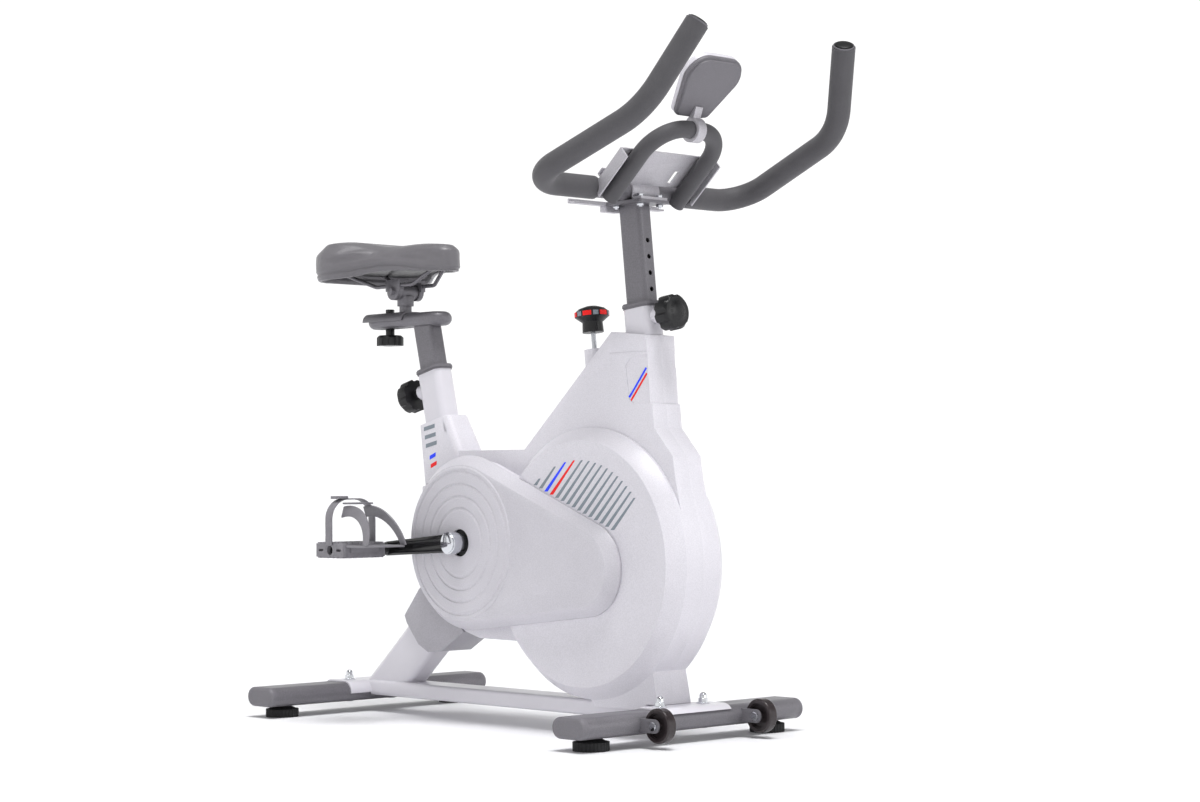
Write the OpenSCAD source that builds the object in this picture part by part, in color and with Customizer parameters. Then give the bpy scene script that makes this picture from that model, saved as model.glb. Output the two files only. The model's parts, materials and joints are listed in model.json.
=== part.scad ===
// Home spin-type exercise bike, built as an assembly.
// Millimetres. +X points forwards to the handlebar, +Y to the rider's left, +Z up.
// The floor is z = 0. Bases are measured from the floor and the rest from the crank axis.

/* [Base] */
// Distance between the left and right levelling feet
foot_span = 400; // [360:5:480]
// Length of each stabiliser tube without its end caps
stabiliser_len = 476; // [450:2:580]
// Fore-and-aft width of a stabiliser tube
stabiliser_w = 76; // [64:1:92]
// Height of a stabiliser tube
stabiliser_h = 34; // [29:1:42]
// Wall of the stabiliser tubes
stabiliser_wall = 2; // [1.5:0.5:3]
// Gap between the floor and the stabilisers
ground_gap = 20; // [17:1:28]
// How far the front stabiliser lies ahead of the crank axis
front_reach = 449; // [440:1:560]
// How far the rear stabiliser lies behind the crank axis
rear_reach = 358; // [300:1:430]
// Diameter of a levelling foot
foot_d = 58; // [45:1:70]
// Diameter of a transport wheel
wheel_d = 55; // [45:1:60]
// Distance between the two transport wheels
wheel_span = 230; // [190:2:280]

/* [Frame] */
// Height of the crank axis above the floor
crank_height = 312; // [290:1:380]
// Width of the base rail
rail_w = 60; // [50:1:72]
// Depth of the rear strut
strut_depth = 80; // [66:1:96]
// Width of the rear strut
strut_w = 50; // [40:1:58]
// Backward lean of the seat tube from vertical, in degrees
seat_lean = 13.5; // [11:0.5:16]
// How far the seat tube's line lies behind the crank axis, at crank height
seat_setback = 97.4; // [90:0.2:110]
// Backward lean of the head tube from vertical, in degrees
head_lean = 6; // [4:0.5:8]
// How far the head tube's line lies ahead of the crank axis, at crank height
head_reach = 405.4; // [395:0.2:420]
// Depth of both sliding posts
post_depth = 50; // [42:1:60]
// Width of both sliding posts
post_w = 30; // [25:1:36]
// Gap all round between a post and the tube that it slides in
post_gap = 0.35; // [0.3:0.05:0.6]
// Wall of the tubes that hold the posts
sleeve_wall = 4.65; // [4:0.05:6]

/* [Drive] */
// Crank length from axis to pedal axis
crank_len = 170; // [142:1:204]
// Angle of the right crank, in degrees up from straight ahead
crank_angle = 184; // [0:1:359]
// Radius of the drive pulley
drive_pulley_r = 124; // [104:1:126]
// Radius of the flywheel's pulley
small_pulley_r = 31; // [26:1:37]
// Width of the belt
belt_w = 11; // [9:0.5:12]
// Flywheel axis ahead of the crank axis
axle_x = 276; // [270:1:290]
// Flywheel axis above the crank axis
axle_z = -30.5; // [-36:0.5:-25]
// Radius of the flywheel
flywheel_r = 165; // [138:1:168]
// Rim width of the flywheel
flywheel_w = 24; // [18:1:30]
// Radius of the flywheel's axle
axle_r = 10; // [8:0.5:11]
// Radial running clearance of every shaft in its bearing
run_gap = 0.05; // [0.02:0.01:0.08]

/* [Housing] */
// Half the width of the housing's flat body
body_half = 32; // [31:0.5:36]
// Wall of the housing
shell_wall = 3; // [2.5:0.5:3.5]
// Radius of the flywheel cover
drum_r = 224; // [215:1:224]
// Half the width of the flywheel cover at its rim
drum_rim_half = 38; // [36:1:44]
// Half the width of the flywheel cover at its flat disc
drum_disc_half = 62; // [60:1:66]
// How far the belt guard stands out from the disc
guard_depth = 23; // [21:1:28]

/* [Touch points] */
// Diameter of the handlebar tube
bar_d = 32; // [28:1:34]
// Diameter over the foam grips
grip_d = 38; // [37:0.5:42]
// Half the width of the handlebar at its corners
bar_half = 244; // [205:1:292]
// Diameter of the inner loop bar
loop_d = 28; // [24:1:30]
// Length of the saddle
saddle_len = 288; // [260:1:330]
// Width of the saddle
saddle_w = 244; // [205:1:290]
// Pedal length along its axis
pedal_len = 91; // [80:1:105]
// Pedal width across its axis
pedal_w = 76; // [66:1:90]

/* [Hidden] */
$fn = 96;

tiny = 0.01;
part_gap = 0.3;
bar_wall = 2;

// overall extents, for an origin below the middle of the object
tip_x = 659;
grip_front_x = tip_x + 17.5;
saddle_front = -113;
saddle_rear = saddle_front - saddle_len;
centre_x = (grip_front_x + min(saddle_rear, -rear_reach - stabiliser_w/2)) / 2;

// base
stabiliser_z = ground_gap + stabiliser_h/2;
cap_len = 12;
saddle_wall = 3;
plate_top = ground_gap + stabiliser_h + saddle_wall;
rail_top = plate_top;
rail_h = 27;
rail_rear_x = -rear_reach + stabiliser_w/2 + saddle_wall;
rail_front_x = front_reach - stabiliser_w/2 - saddle_wall;
carriage_y = 49;
bolt_r = 4;
stud_r = 5;
foot_travel = 8;
wheel_w = 20;
wheel_x = front_reach + stabiliser_w/2 + wheel_d/2 + 1.5;
wheel_z = ground_gap + 16.4;

// frame tubes, measured from the crank axis
seat_tube_below = 143;
seat_tube_top = 309;
tube_r = 12;
post_r = 8;
sleeve_depth = post_depth + 2*(post_gap + sleeve_wall);
sleeve_w = post_w + 2*(post_gap + sleeve_wall);
head_tube_top = 389;
head_tube_bottom = 192;
strut_foot = [-280, plate_top];
strut_top_drop = 79;
strut_top = [-seat_setback + strut_top_drop*tan(seat_lean), crank_height - strut_top_drop];
strut_angle = atan2(strut_top.y - strut_foot.y, strut_top.x - strut_foot.x);
main_slope = 40;
main_depth = 50;
main_w = 38;
// the main tube clears the flywheel by a fixed distance
main_offset = 218;
main_point = [axle_x - main_offset*sin(main_slope), axle_z + main_offset*cos(main_slope)];
bb_r = 22;
bb_half = 34;
crank_axle_r = 10;
bearing_w = 12;
fork_t = 8;
fork_w = 46;
bearing_r = 21;
knob_r = 29;
pin_r = 5;
seat_pin_z = 283;
head_pin_z = 372;

// brake
brake_reach = 283.7;
rod_r = 4;
brake_tube_r = 17.5;
brake_tube_top = 326;
press_travel = 3;
turn_travel = 3.75;
shoe_gap = press_travel + turn_travel + 0.8;

// drive
guard_face = drum_disc_half + guard_depth;
belt_y = drum_disc_half + 12;
belt_t = 3;
axle_pos = [axle_x, axle_z];
crank_inner = guard_face + 11;
crank_t = 14;
crank_outer = crank_inner + crank_t;
pedal_y = crank_outer + 35 + pedal_len/2;
spindle_r = 8;
hub_hole_r = 23.3;

// housing outlines, measured from the crank axis
body_outline = [
    [-68, 159], [-48.5, 125], [-166, 96.5], [-168, 0], [-163, -76], [-50, -156], [-11, -166],
    [112, -167], [300, -120], [400, -20], [484, 50], [470, 106], [464, 144], [422, 190], [418, 229],
    [414, 230], [407, 315], [405, 341], [324, 349.5], [108, 159]];
boot_outline = [
    [-163, -77], [-175, -87], [-215, -134], [-209, -147], [-176, -184], [-149, -197],
    [-114, -194], [-50.5, -157]];
guard_big_r = 150;
guard_small = [298, -39];
guard_small_r = 78;
guard_bevel = 16;
window_outline = [
    [365, 237], [357, 293], [367, 304], [408, 312], [412, 232], [376, 230]];

// handlebar, measured from the crank axis
bar_x = 356;
bar_z = 579;
grip_start = 102;
bar_path = [
    [bar_x, bar_half, bar_z], [bar_x + 239.6, bar_half - 22.4, bar_z + 89],
    [tip_x, bar_half - 76.5, bar_z + 219]];
bar_bends = [58, 110];
plate_t = 5;
post_top_z = bar_z - bar_d/2 - plate_t;
loop_slope = 41.3;
loop_base = [378, 572];
loop_half = 76;
loop_len = 144;

// seat, measured from the crank axis
slider_z = 397;
slider_w = 50;
slider_h = 25;
slider_front = -135;
slider_rear = -345;
stem_x = -252;
slide_bolt_x = -297;
clamp_z = 450;
rail_z = clamp_z + 10;
shell_z = 488;
saddle_rear_r = 62;
saddle_nose_r = 28;

// monitor, measured in its own plane from the loop's top bar
monitor_tilt = 42.5;

// ---------- placing ----------

module placed() { translate([-centre_x, 0, 0]) children(); }
module at_crank() { placed() translate([0, 0, crank_height]) children(); }
module seat_frame() { at_crank() translate([-seat_setback, 0, 0]) rotate([0, -seat_lean, 0]) children(); }
module head_frame() { at_crank() translate([head_reach, 0, 0]) rotate([0, -head_lean, 0]) children(); }
module brake_frame() { at_crank() translate([brake_reach, 0, 0]) rotate([0, -head_lean, 0]) children(); }
module flywheel_frame() { at_crank() translate([axle_x, 0, axle_z]) children(); }
module loop_frame() {
    at_crank() translate([loop_base.x, 0, loop_base.y]) rotate([0, 90 - loop_slope, 0]) children();
}
module monitor_frame() {
    loop_frame() translate([0, 0, loop_len]) rotate([0, monitor_tilt - (90 - loop_slope), 0])
        translate([-30.5, 0, 67]) children();
}
module pedal_frame(side) {
    turn = side < 0 ? crank_angle : crank_angle + 180;
    at_crank() translate([crank_len*cos(turn), side*pedal_y, crank_len*sin(turn)]) children();
}

// ---------- shared shapes ----------

function unit(v) = v / norm(v);
function left_normal(a, b) = let (u = unit(b - a)) [-u.y, u.x];
// an outline moved inwards by d, for points that run anticlockwise as listed
function inset(p, d) = [
    for (i = [0:len(p) - 1])
        let (n = len(p), b = p[i],
             n1 = left_normal(p[(i + n - 1) % n], b), n2 = left_normal(b, p[(i + 1) % n]))
        b + (n1 + n2) * d / (1 + n1*n2)];
// the four corners between two circles' common tangents, a hair inside both circles
function tangent_quad(a, ra, b, rb) =
    let (d = norm(b - a), dir = atan2(b.y - a.y, b.x - a.x), off = acos((ra - rb)/d),
         na = ra - tiny, nb = rb - tiny)
    [a + na*[cos(dir + off), sin(dir + off)], b + nb*[cos(dir + off), sin(dir + off)],
     b + nb*[cos(dir - off), sin(dir - off)], a + na*[cos(dir - off), sin(dir - off)]];

// an outline around circles listed anticlockwise
module round_outline(c, r) {
    n = len(c);
    for (i = [0:n - 1]) translate(c[i]) circle(r[i]);
    polygon([for (i = [0:n - 1])
        let (a = c[i], b = c[(i + 1) % n], ra = r[i], rb = r[(i + 1) % n],
             out = atan2(b.y - a.y, b.x - a.x) - acos((ra - rb)/norm(b - a)))
        each [a + ra*[cos(out), sin(out)], b + rb*[cos(out), sin(out)]]]);
}
module two_circles(a, ra, b, rb) {
    translate(a) circle(ra);
    translate(b) circle(rb);
    polygon(tangent_quad(a, ra, b, rb));
}
module rounded_rect(w, h, r) {
    square([w - 2*r, h], center = true);
    square([w, h - 2*r], center = true);
    for (x = [-1, 1], y = [-1, 1]) translate([x*(w/2 - r), y*(h/2 - r)]) circle(r);
}
module oblong(w, h) {
    square([w - h, h], center = true);
    for (x = [-1, 1]) translate([x*(w - h)/2, 0]) circle(h/2);
}
// a side view in X and Z, extruded from y0 to y1
module side_extrude(y0, y1) { translate([0, y1, 0]) rotate([90, 0, 0]) linear_extrude(y1 - y0) children(); }
module rod_y(r, y0, y1) { translate([0, y1, 0]) rotate([90, 0, 0]) cylinder(r = r, h = y1 - y0); }
module rod_x(r, x0, x1) { translate([x0, 0, 0]) rotate([0, 90, 0]) cylinder(r = r, h = x1 - x0); }
module along_x(x0, x1) { translate([x0, 0, 0]) rotate([0, 90, 0]) linear_extrude(x1 - x0) children(); }
module turned_y(y0) { translate([0, y0, 0]) rotate([90, 0, 0]) rotate_extrude() children(); }
module ring(r_out, r_in, h) {
    difference() {
        cylinder(r = r_out, h = h);
        translate([0, 0, -1]) cylinder(r = r_in, h = h + 2);
    }
}
module both_sides() { children(); mirror([0, 1, 0]) children(); }

// a straight round bar from point a to point b, hollow when hole is above zero
module bar_segment(a, b, r, hole = 0) {
    d = b - a;
    translate(a) rotate([0, acos(d.z/norm(d)), atan2(d.y, d.x)]) translate([0, 0, tiny/2])
        linear_extrude(norm(d) - tiny) bar_section(r, hole);
}
module bar_section(r, hole) {
    difference() {
        circle(r);
        if (hole > 0) circle(hole);
    }
}
function cross3(a, b) = [a.y*b.z - a.z*b.y, a.z*b.x - a.x*b.z, a.x*b.y - a.y*b.x];
function bend_reach(a, b, c, bend) = bend * tan(acos(unit(b - a)*unit(c - b)) / 2);
// a round bend at b, on the way from a to c
module bar_bend(a, b, c, bend, r, hole) {
    u = unit(b - a);
    v = unit(c - b);
    turn = acos(u*v);
    centre = b + unit(v - u) * bend / cos(turn/2);
    x = unit(b - u*bend*tan(turn/2) - centre);
    z = unit(cross3(x, u));
    multmatrix([[x.x, u.x, z.x, centre.x], [x.y, u.y, z.y, centre.y], [x.z, u.z, z.z, centre.z],
                [0, 0, 0, 1]])
        rotate_extrude(angle = turn) translate([bend, 0]) bar_section(r, hole);
}
// a round bar along the points p, with one bend radius for each inner point
module bent_bar(p, bends, r, hole = 0) {
    n = len(p);
    starts = [for (i = [0:n - 2]) i == 0 ? p[0]
        : p[i] + unit(p[i + 1] - p[i]) * bend_reach(p[i - 1], p[i], p[i + 1], bends[i - 1])];
    ends = [for (i = [0:n - 2]) i == n - 2 ? p[n - 1]
        : p[i + 1] - unit(p[i + 1] - p[i]) * bend_reach(p[i], p[i + 1], p[i + 2], bends[i])];
    for (i = [0:n - 2]) bar_segment(starts[i], ends[i], r, hole);
    for (i = [1:n - 2]) bar_bend(p[i - 1], p[i], p[i + 1], bends[i - 1], r, hole);
}
// a flat bar along X with fully rounded ends and edges
module pill_bar(x0, x1, w, h) {
    along_x(x0 + w/2, x1 - w/2) rotate(90) oblong(w, h);
    for (end = [[x0, 90], [x1, -90]]) translate([end.x + sign(end.y)*w/2, 0, 0]) rotate(end.y)
        rotate_extrude(angle = 180) intersection() {
            oblong(w, h);
            translate([0, -h]) square([w, 2*h]);
        }
}
// a knob with lobes, its back face at z = 0 and its front face up
module lobed_knob(r, h, lobes, notch_r) {
    difference() {
        union() {
            cylinder(r = r, h = h - 4);
            translate([0, 0, h - 4]) cylinder(r1 = r, r2 = r - 4, h = 4);
        }
        for (i = [0:lobes - 1]) rotate(i*360/lobes)
            translate([r + notch_r*0.55, 0, -1]) cylinder(r = notch_r, h = h + 2);
    }
}

// ---------- base ----------

module stabiliser_outline(grow) { oblong(stabiliser_w + 2*grow, stabiliser_h + 2*grow); }
module stabiliser_tube(x) {
    translate([x, 0, stabiliser_z]) difference() {
        side_extrude(-stabiliser_len/2, stabiliser_len/2) stabiliser_outline(0);
        side_extrude(-stabiliser_len, stabiliser_len) stabiliser_outline(-stabiliser_wall);
        for (y = [-1, 1]) translate([0, y*foot_span/2, -stabiliser_h])
            cylinder(r = stud_r + run_gap, h = stabiliser_h);
        for (y = [-1, 1]) translate([0, y*carriage_y, -stabiliser_h])
            cylinder(r = bolt_r + 0.2, h = 2*stabiliser_h);
    }
}
module saddle_plate(x, inner) {
    translate([x, 0, stabiliser_z]) side_extrude(-76, 76) difference() {
        stabiliser_outline(saddle_wall);
        stabiliser_outline(tiny);
        translate([-100, -100]) square([200, 100 - 2]);
        translate([inner < 0 ? 0 : -200, -50]) square([200, 50 + stabiliser_h/2 - 6]);
    }
}
module rail_outline(grow) { rounded_rect(rail_h + 2*grow, rail_w + 2*grow, 5); }
module base_rail() {
    color("#f1eff4") placed() difference() {
        union() {
            translate([0, 0, rail_top - rail_h/2]) along_x(-rear_reach + 8, front_reach - 8) rail_outline(0);
            saddle_plate(-rear_reach, 1);
            saddle_plate(front_reach, -1);
        }
        translate([0, 0, rail_top - rail_h/2]) along_x(rail_rear_x + 3, rail_front_x - 3)
            rounded_rect(rail_h - 6, rail_w - 6, 3);
        for (x = [-rear_reach, front_reach]) {
            translate([x, 0, stabiliser_z]) side_extrude(-80, 80) stabiliser_outline(tiny);
            for (y = [-1, 1]) translate([x, y*carriage_y, ground_gap])
                cylinder(r = bolt_r + 0.2, h = 60);
        }
    }
}
module wheel_ears() {
    for (side = [-1, 1], ear = [-1, 1]) translate([0, side*wheel_span/2 + ear*(wheel_w/2 + 3), 0])
        side_extrude(-1.5, 1.5) difference() {
            union() {
                translate([wheel_x, wheel_z]) circle(11);
                translate([front_reach + 20, wheel_z - 11]) square([wheel_x - front_reach - 20, 22]);
            }
            translate([wheel_x, wheel_z]) circle(bolt_r + 0.2);
            translate([front_reach, stabiliser_z]) stabiliser_outline(-0.5);
        }
}
module front_stabiliser() {
    color("#767478") placed() {
        stabiliser_tube(front_reach);
        wheel_ears();
    }
}
module rear_stabiliser() { color("#767478") placed() stabiliser_tube(-rear_reach); }
module stabiliser_cap() {
    edge = 6;
    module profile(half) {
        square([half, cap_len - edge]);
        square([half - edge, cap_len]);
        translate([half - edge, cap_len - edge]) circle(edge - tiny);
    }
    straight = stabiliser_w - stabiliser_h;
    half = stabiliser_h/2;
    along_x(-straight/2, straight/2) rotate(90) difference() {
        union() { profile(half); mirror([1, 0]) profile(half); }
        translate([-half, -cap_len]) square([2*half, cap_len]);
    }
    for (x = [-1, 1]) translate([x*straight/2, 0, 0]) rotate_extrude()
        intersection() { profile(half); square([half, cap_len]); }
    translate([0, 0, -15]) linear_extrude(15)
        oblong(stabiliser_w - 2*stabiliser_wall - 0.4, stabiliser_h - 2*stabiliser_wall - 0.4);
}
module stabiliser_caps() {
    color("#6d6b70") placed()
        for (x = [-rear_reach, front_reach]) translate([x, 0, stabiliser_z]) both_sides()
            translate([0, stabiliser_len/2, 0]) rotate([-90, 0, 0]) stabiliser_cap();
}
module carriage_bolt() {
    head_z = ground_gap - 3;
    translate([0, 0, head_z]) cylinder(r1 = 6, r2 = 9, h = 3);
    translate([0, 0, head_z + 1]) cylinder(r = bolt_r, h = plate_top - head_z + 8);
}
module cap_nut() {
    difference() {
        union() {
            cylinder(r = 11, h = 1.6);
            cylinder(r = 8, h = 8, $fn = 6);
            translate([0, 0, 8]) cylinder(r = 6, h = 5);
            translate([0, 0, 13]) cylinder(r1 = 6, r2 = 4.6, h = 2.6);
            translate([0, 0, 15.6]) cylinder(r1 = 4.6, r2 = 2, h = 1.6);
        }
        translate([0, 0, -1]) cylinder(r = bolt_r + tiny, h = 11);
    }
}
module base_fasteners() {
    color("#d8d8dc") placed() {
        for (x = [-rear_reach, front_reach], y = [-1, 1]) translate([x, y*carriage_y, 0]) {
            carriage_bolt();
            translate([0, 0, plate_top]) cap_nut();
        }
        for (side = [-1, 1]) translate([wheel_x, side*wheel_span/2, wheel_z]) {
            rod_y(bolt_r, -wheel_w/2 - 5, wheel_w/2 + 8);
            rod_y(7, -wheel_w/2 - 8, -wheel_w/2 - 4.5);
            rod_y(6.5, wheel_w/2 + 4.5, wheel_w/2 + 9);
        }
    }
}
module foot(x, side) {
    color("#3a3a3c") placed() translate([x, side*foot_span/2, 0]) {
        difference() {
            cylinder(r = foot_d/2, h = 14);
            for (i = [0:29]) rotate(12*i) translate([foot_d/2 + 0.6, 0, -1]) cylinder(r = 1.6, h = 16);
        }
        translate([0, 0, 14]) cylinder(r1 = foot_d/2 - 3, r2 = 18, h = 4);
        cylinder(r = 16.5, h = ground_gap - part_gap);
        cylinder(r = stud_r, h = ground_gap + stabiliser_h - stabiliser_wall - 4);
    }
}
module foot_front_right() { foot(front_reach, -1); }
module foot_front_left() { foot(front_reach, 1); }
module foot_rear_right() { foot(-rear_reach, -1); }
module foot_rear_left() { foot(-rear_reach, 1); }
module transport_wheel(side) {
    r = wheel_d/2;
    color([0.25, 0.23, 0.24]) placed() translate([wheel_x, side*wheel_span/2, wheel_z])
        turned_y(0) difference() {
            union() {
                translate([bolt_r + run_gap, -wheel_w/2 + 0.5]) square([4, wheel_w - 1]);
                translate([bolt_r + run_gap, -3]) square([r - 8, 6]);
                translate([r - 7, -wheel_w/2 + 1]) square([4, wheel_w - 2]);
                translate([r - 9, -wheel_w/2 + 4]) square([9, wheel_w - 8]);
                for (s = [-1, 1]) translate([r - 3, s*(wheel_w/2 - 4)]) circle(3);
            }
            translate([-r, -r]) square([r + bolt_r + run_gap, 2*r]);
        }
}
module wheel_right() { transport_wheel(-1); }
module wheel_left() { transport_wheel(1); }

// ---------- frame ----------

module strut_solid(grow) {
    placed() translate([strut_foot.x, 0, strut_foot.y]) rotate([0, 90 - strut_angle, 0])
        translate([0, 0, -90]) linear_extrude(90 + norm(strut_top - strut_foot))
            rounded_rect(strut_depth + 2*grow, strut_w + 2*grow, 12);
}
module sleeve_outline(grow) { rounded_rect(sleeve_depth + 2*grow, sleeve_w + 2*grow, tube_r + grow); }
module post_outline(grow) { rounded_rect(post_depth + 2*grow, post_w + 2*grow, post_r + grow); }
module seat_tube_solid(grow) {
    seat_frame() translate([0, 0, -seat_tube_below - grow])
        linear_extrude(seat_tube_below + seat_tube_top + 2*grow) sleeve_outline(grow);
}
module head_tube_solid(grow) {
    head_frame() translate([0, 0, head_tube_bottom - grow])
        linear_extrude(head_tube_top - head_tube_bottom + 2*grow) sleeve_outline(grow);
}
module main_tube_solid(grow) {
    at_crank() translate([main_point.x, 0, main_point.y]) rotate([0, 90 - main_slope, 0])
        translate([0, 0, -290 - grow]) linear_extrude(595 + 2*grow)
            rounded_rect(main_depth + 2*grow, main_w + 2*grow, 10 + grow);
}
module rear_strut() {
    color("#f1eff4") difference() {
        strut_solid(0);
        strut_solid_bore();
        seat_tube_solid(0);
        placed() translate([-900, -500, plate_top - 500]) cube([1800, 1000, 500]);
    }
}
module strut_solid_bore() {
    placed() translate([strut_foot.x, 0, strut_foot.y]) rotate([0, 90 - strut_angle, 0])
        translate([0, 0, -95]) linear_extrude(400) rounded_rect(strut_depth - 5, strut_w - 5, 9.5);
}
module seat_tube() {
    color("#f1eff4") difference() {
        union() {
            seat_tube_solid(0);
            seat_frame() translate([0, 0, seat_pin_z]) rod_x(13, -sleeve_depth/2 - 14, -sleeve_depth/2 + 2);
        }
        seat_frame() translate([0, 0, -seat_tube_below - 1]) linear_extrude(800) post_outline(post_gap);
        seat_frame() translate([0, 0, seat_pin_z])
            rod_x(pin_r + run_gap, -sleeve_depth/2 - 20, -post_depth/2);
        at_crank() rod_y(bb_r + tiny, -bb_half, bb_half);
    }
}
module bottom_bracket() { at_crank() rod_y(bb_r, -bb_half, bb_half); }
module main_tube() {
    color("#f1eff4") difference() {
        union() {
            difference() {
                main_tube_solid(0);
                at_crank() translate([main_point.x, 0, main_point.y]) rotate([0, 90 - main_slope, 0])
                    translate([0, 0, -400]) linear_extrude(900)
                        rounded_rect(main_depth - 6, main_w - 6, 7);
            }
            bottom_bracket();
            brake_frame() translate([0, 0, brake_tube_top - 74]) cylinder(r = brake_tube_r, h = 74);
        }
        seat_tube_solid(0);
        head_tube_solid(0);
        at_crank() rod_y(bb_r - 3, -60, 60);
        brake_frame() {
            cylinder(r = 12, h = brake_tube_top - 12);
            cylinder(r = rod_r + run_gap, h = brake_tube_top + 1);
        }
    }
}
module fork_outline() {
    head_low = [head_reach - (head_tube_bottom + 45)*sin(head_lean), (head_tube_bottom + 45)*cos(head_lean)];
    foot_low = [axle_x + 44, -crank_height + rail_top - 10];
    two_circles(head_low, fork_w/2, axle_pos, fork_w/2 + 6);
    two_circles(axle_pos, fork_w/2 + 6, foot_low, fork_w/2);
}
module head_tube() {
    color("#f1eff4") difference() {
        union() {
            head_tube_solid(0);
            head_frame() translate([0, 0, head_pin_z]) rod_x(13, sleeve_depth/2 - 2, sleeve_depth/2 + 12);
            difference() {
                at_crank() both_sides() side_extrude(sleeve_w/2 - 1, sleeve_w/2 + fork_t) fork_outline();
                placed() translate([-900, -500, rail_top - 500]) cube([1800, 1000, 500]);
                flywheel_frame() rod_y(bearing_r, -60, 60);
            }
        }
        head_frame() translate([0, 0, head_tube_bottom - 1]) linear_extrude(800) post_outline(post_gap);
        head_frame() translate([0, 0, head_pin_z])
            rod_x(pin_r + run_gap, post_depth/2, sleeve_depth/2 + 20);
    }
}
module bearings() {
    color("#b9bbc0") {
        flywheel_frame() both_sides() turned_y(sleeve_w/2 + fork_t + 1) bearing_profile(axle_r, bearing_r, fork_t + 2);
        at_crank() both_sides() turned_y(bb_half + 2) bearing_profile(crank_axle_r, bb_r - 3, bearing_w);
    }
}
module bearing_profile(r_in, r_out, w) {
    difference() {
        translate([r_in + run_gap, 0]) square([r_out - r_in - run_gap, w]);
        translate([(r_in + r_out)/2, 0]) circle(1.4);
        translate([(r_in + r_out)/2, w]) circle(1.4);
    }
}
module collar(top) {
    translate([0, 0, top]) difference() {
        union() {
            linear_extrude(9) sleeve_outline(1.5);
            translate([0, 0, 3]) linear_extrude(4) sleeve_outline(3);
        }
        translate([0, 0, -1]) linear_extrude(12) post_outline(post_gap);
    }
}
module tube_collars() {
    color("#69676c") {
        seat_frame() collar(seat_tube_top);
        head_frame() collar(head_tube_top);
    }
}

// ---------- drive ----------

module flywheel() {
    color("#8a8c90") flywheel_frame() turned_y(0) difference() {
        union() {
            translate([axle_r + tiny, -14]) square([16, 28]);
            translate([axle_r + 2, -3]) square([flywheel_r - axle_r - 4, 6]);
            translate([flywheel_r - 33, -flywheel_w/2]) square([33, flywheel_w]);
        }
        translate([flywheel_r - 31, flywheel_w/2]) circle(3);
        translate([flywheel_r - 31, -flywheel_w/2]) circle(3);
    }
}
module flywheel_axle() {
    color("#c4c6ca") flywheel_frame() {
        rod_y(axle_r, -belt_y - 7, sleeve_w/2 + fork_t + 8);
        difference() {
            rod_y(small_pulley_r, -belt_y - belt_w/2 - 0.8, -belt_y + belt_w/2 + 0.8);
            for (i = [-2:2]) translate([0, -belt_y + i*2, 0]) turned_y(0)
                translate([small_pulley_r + 0.35, 0]) circle(0.9, $fn = 24);
        }
    }
}
module crank_axle() {
    color("#b4b6bb") at_crank() {
        rod_y(crank_axle_r, -bb_half - 2, bb_half + 2);
        rod_y(crank_axle_r - 1, -crank_outer + 1, crank_outer - 1);
        for (s = [-1, 1]) mirror([0, s > 0 ? 1 : 0, 0]) rod_y(16, -crank_inner + 0.2, -belt_y - belt_w/2 - 1.8);
        mirror([0, 1, 0]) rod_y(14, -belt_y - belt_w/2, -bb_half - 3);
    }
}
module drive_pulley() {
    hub = crank_axle_r - 1;
    color("#2f3033") at_crank() difference() {
        union() {
            rod_y(drive_pulley_r, -belt_y - belt_w/2 - 0.8, -belt_y + belt_w/2 + 0.8);
            rod_y(24, -belt_y - belt_w/2 - 1.8, -belt_y + belt_w/2 + 4);
            rod_y(14, -belt_y, -bb_half - 3);
        }
        rod_y(hub + tiny, -200, 200);
        for (i = [0:5]) rotate([0, 60*i, 0]) translate([72, 0, 0]) rod_y(26, -200, 200);
        for (s = [-1, 1]) translate([0, -belt_y + s*(belt_w/2 + 1.8), 0]) difference() {
            rod_y(drive_pulley_r - 12, -2, 2);
            rod_y(34, -3, 3);
        }
    }
}
module drive_belt() {
    color("#1d1d1f") at_crank() side_extrude(-belt_y - belt_w/2, -belt_y + belt_w/2) difference() {
        two_circles([0, 0], drive_pulley_r + part_gap + belt_t, axle_pos, small_pulley_r + part_gap + belt_t);
        two_circles([0, 0], drive_pulley_r + part_gap, axle_pos, small_pulley_r + part_gap);
    }
}
// the right crank, pointing along +X from the crank axis
module crank_arm() {
    pedal_end = [crank_len, 0];
    difference() {
        side_extrude(-crank_outer, -crank_inner) two_circles([0, 0], 15.8, pedal_end, 12.5);
        rod_y(crank_axle_r - 1 + tiny, -200, 0);
        translate([crank_len, 0, 0]) rod_y(7 + tiny, -200, 0);
        side_extrude(-crank_outer - 1, -crank_outer + 2)
            two_circles([26, 0], 7.5, [crank_len - 24, 0], 6);
    }
}
module pedal_spindle() {
    translate([crank_len, 0, 0]) {
        rod_y(7, -crank_outer, -crank_inner);
        rod_y(11, -crank_outer - 6, -crank_outer - tiny);
        rod_y(spindle_r, -pedal_y - pedal_len/2 + 7, -crank_outer - 5);
    }
}
module right_crank() {
    color("#1c1c1e") at_crank() rotate([0, -crank_angle, 0]) { crank_arm(); pedal_spindle(); }
}
module left_crank() {
    color("#1c1c1e") at_crank() rotate([0, 180 - crank_angle, 0]) mirror([0, 1, 0]) {
        crank_arm();
        pedal_spindle();
    }
}
module crank_cap() {
    difference() {
        union() {
            rod_y(19, -crank_outer - 3, -crank_inner + 0.1);
            rod_y(16.5, -crank_outer - 5, -crank_outer - 2);
        }
        rod_y(16, -crank_outer - tiny, 0);
        translate([0, -crank_outer + 30, 0]) translate([0, -30 - tiny, -16]) cube([40, 60, 32]);
    }
}
module crank_caps() {
    color("#d5d7db") at_crank() {
        rotate([0, -crank_angle, 0]) crank_cap();
        rotate([0, 180 - crank_angle, 0]) mirror([0, 1, 0]) crank_cap();
    }
}
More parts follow.
